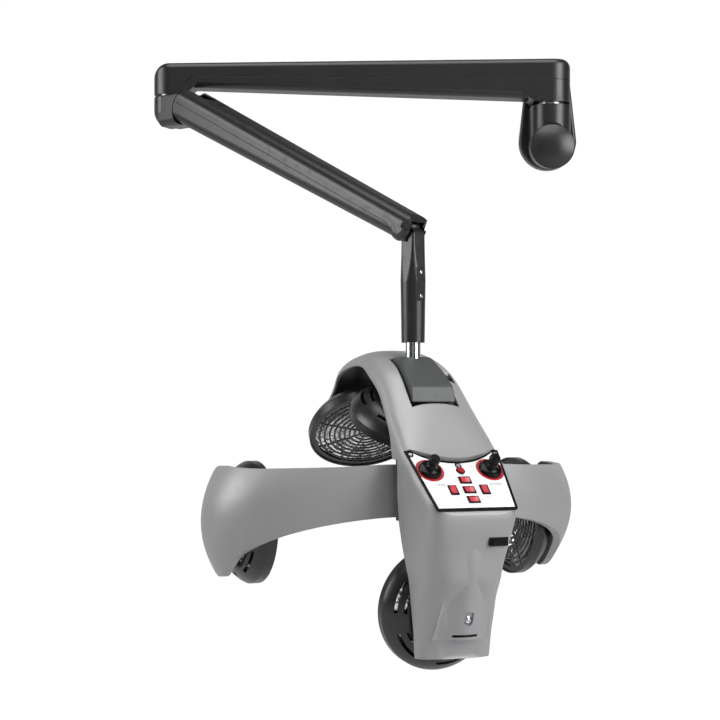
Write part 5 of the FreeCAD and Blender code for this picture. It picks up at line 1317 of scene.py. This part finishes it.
@dataclass
class Studio:
    """A pale floor and backdrop, soft lamps and the camera, in metres."""

    camera_spot: Point = (-0.3702, -3.968, -0.5099)
    focal: float = 100.0
    sensor: float = 36.0
    rise: float = 0.0556
    clip_end: float = 50.0
    floor_z: float = -1.35
    floor_front: float = -7.0
    stage_half: float = 9.0
    backdrop_y: float = 5.6
    backdrop_top: float = 4.0
    bend: float = 1.6
    bend_steps: int = 12
    cloth: Colour = (0.62, 0.62, 0.63)
    whiteness: float = 1.22
    seen_share: float = 0.80
    mirrored_share: float = 0.45
    room_light: float = 0.05
    lamps: tuple[SoftBox, ...] = (
        SoftBox("left_box", (-3.6, -0.9, 0.5), (-0.5, -0.6, -0.6), 2.0, 74.0),
        SoftBox("right_box", (2.6, -2.5, 0.7), (-0.2, -0.7, -0.5), 2.2, 128.0),
        SoftBox("top_box", (-0.3, -1.3, 2.3), (-0.3, -0.6, -0.4), 2.6, 84.0),
        SoftBox("front_fill", (-0.6, -5.2, 0.6), (-0.35, -0.5, -0.5), 2.0, 4.0),
    )

    def build(self) -> None:
        """Sets up the camera, stage and lamps."""
        self._camera()
        self._stage()
        self._world()
        for lamp in self.lamps:
            lamp.build()
        bpy.context.scene.view_settings.view_transform = "Standard"

    def _camera(self) -> None:
        """Adds the camera."""
        data = bpy.data.cameras.new("camera")
        data.lens = self.focal
        data.sensor_width = self.sensor
        data.shift_y = self.rise
        data.clip_end = self.clip_end
        camera = bpy.data.objects.new("camera", data)
        camera.location = self.camera_spot
        camera.rotation_euler = (math.radians(90.0), 0.0, 0.0)
        bpy.context.scene.collection.objects.link(camera)
        bpy.context.scene.camera = camera

    def _sweep_profile(self) -> list[tuple[float, float]]:
        """Works out the side outline of floor, bend and backdrop.

        Returns:
            Y and Z of each point, from the front to the top.
        """
        profile = [(self.floor_front, self.floor_z)]
        for step in range(self.bend_steps + 1):
            angle = math.radians(90.0 * step / self.bend_steps)
            y = self.backdrop_y - self.bend + self.bend * math.sin(angle)
            z = self.floor_z + self.bend - self.bend * math.cos(angle)
            profile.append((y, z))
        profile.append((self.backdrop_y, self.backdrop_top))
        return profile

    def _stage(self) -> None:
        """Adds the floor, which bends up into the backdrop."""
        mesh = bmesh.new()
        left, right = (
            [mesh.verts.new((x, y, z)) for y, z in self._sweep_profile()]
            for x in (-self.stage_half, self.stage_half)
        )
        for index in range(len(left) - 1):
            after = index + 1
            mesh.faces.new((left[index], right[index], right[after], left[after]))
        data = bpy.data.meshes.new("stage_sweep")
        mesh.to_mesh(data)
        mesh.free()
        data.shade_smooth()
        sweep = bpy.data.objects.new("stage_sweep", data)
        bpy.context.scene.collection.objects.link(sweep)
        data.materials.append(self._stage_material())

    def _stage_material(self) -> bpy.types.Material:
        """Builds a pale cloth that the camera, glass and gloss see as nearly white.

        Returns:
            The material.
        """
        material, mix = new_recipe("stage_pale")
        path = mix.node("ShaderNodeLightPath", output="Is Camera Ray")
        passed = mix.node("ShaderNodeLightPath", output="Is Transmission Ray")
        mirrored = mix.node("ShaderNodeLightPath", output="Is Glossy Ray")
        seen = (path + passed + self.mirrored_share * mirrored).clamped()
        cloth = mix.node("ShaderNodeBsdfDiffuse", {}, {"Color": self.cloth})
        white = mix.node("ShaderNodeEmission", {}, {"Color": WHITE, "Strength": self.whiteness})
        share = seen * self.seen_share
        blend = mix.node("ShaderNodeMixShader", {}, {0: share, 1: cloth, 2: white})
        mix.node("ShaderNodeOutputMaterial", {}, {"Surface": blend})
        return material

    def _world(self) -> None:
        """Sets the soft surrounding light."""
        world = bpy.data.worlds.new("soft_room")
        world.use_nodes = True
        bpy.context.scene.world = world
        mix = Recipe(world.node_tree)
        seen = mix.node("ShaderNodeLightPath", output="Is Camera Ray")
        room = mix.node("ShaderNodeBackground", {}, {"Color": WHITE, "Strength": self.room_light})
        white = mix.node("ShaderNodeBackground", {}, {"Color": WHITE, "Strength": 1.0})
        blend = mix.node("ShaderNodeMixShader", {}, {0: seen, 1: room, 2: white})
        mix.node("ShaderNodeOutputWorld", {}, {"Surface": blend})


def paint_frame(frame: Mapping[str, Any]) -> None:
    """Gives every CAD node the finish of its record slot.

    Args:
        frame: What load() returned.
    """
    for part in frame["record"]["subparts"]:
        node = frame["nodes"][part["node"]]
        SLOT_FINISH[part["material_slot"]].paint(node)
        LOG.info("painted %s as %s", part["node"], part["material_slot"])


def corners(box: tuple[Vector, Vector]) -> list[list[float]]:
    """Returns a box's two corners as plain lists."""
    return [list(box[0]), list(box[1])]


def main() -> None:
    """Builds the dressed processor in order."""
    logging.basicConfig(level=logging.INFO, format="%(message)s")
    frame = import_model()
    Studio().build()
    layout = Layout()
    paint_frame(frame)
    ControlPanel(layout).build()
    for guard in GUARDS:
        guard.build(layout)
    Fasteners(layout).build()


if __name__ == "__main__":
    main()
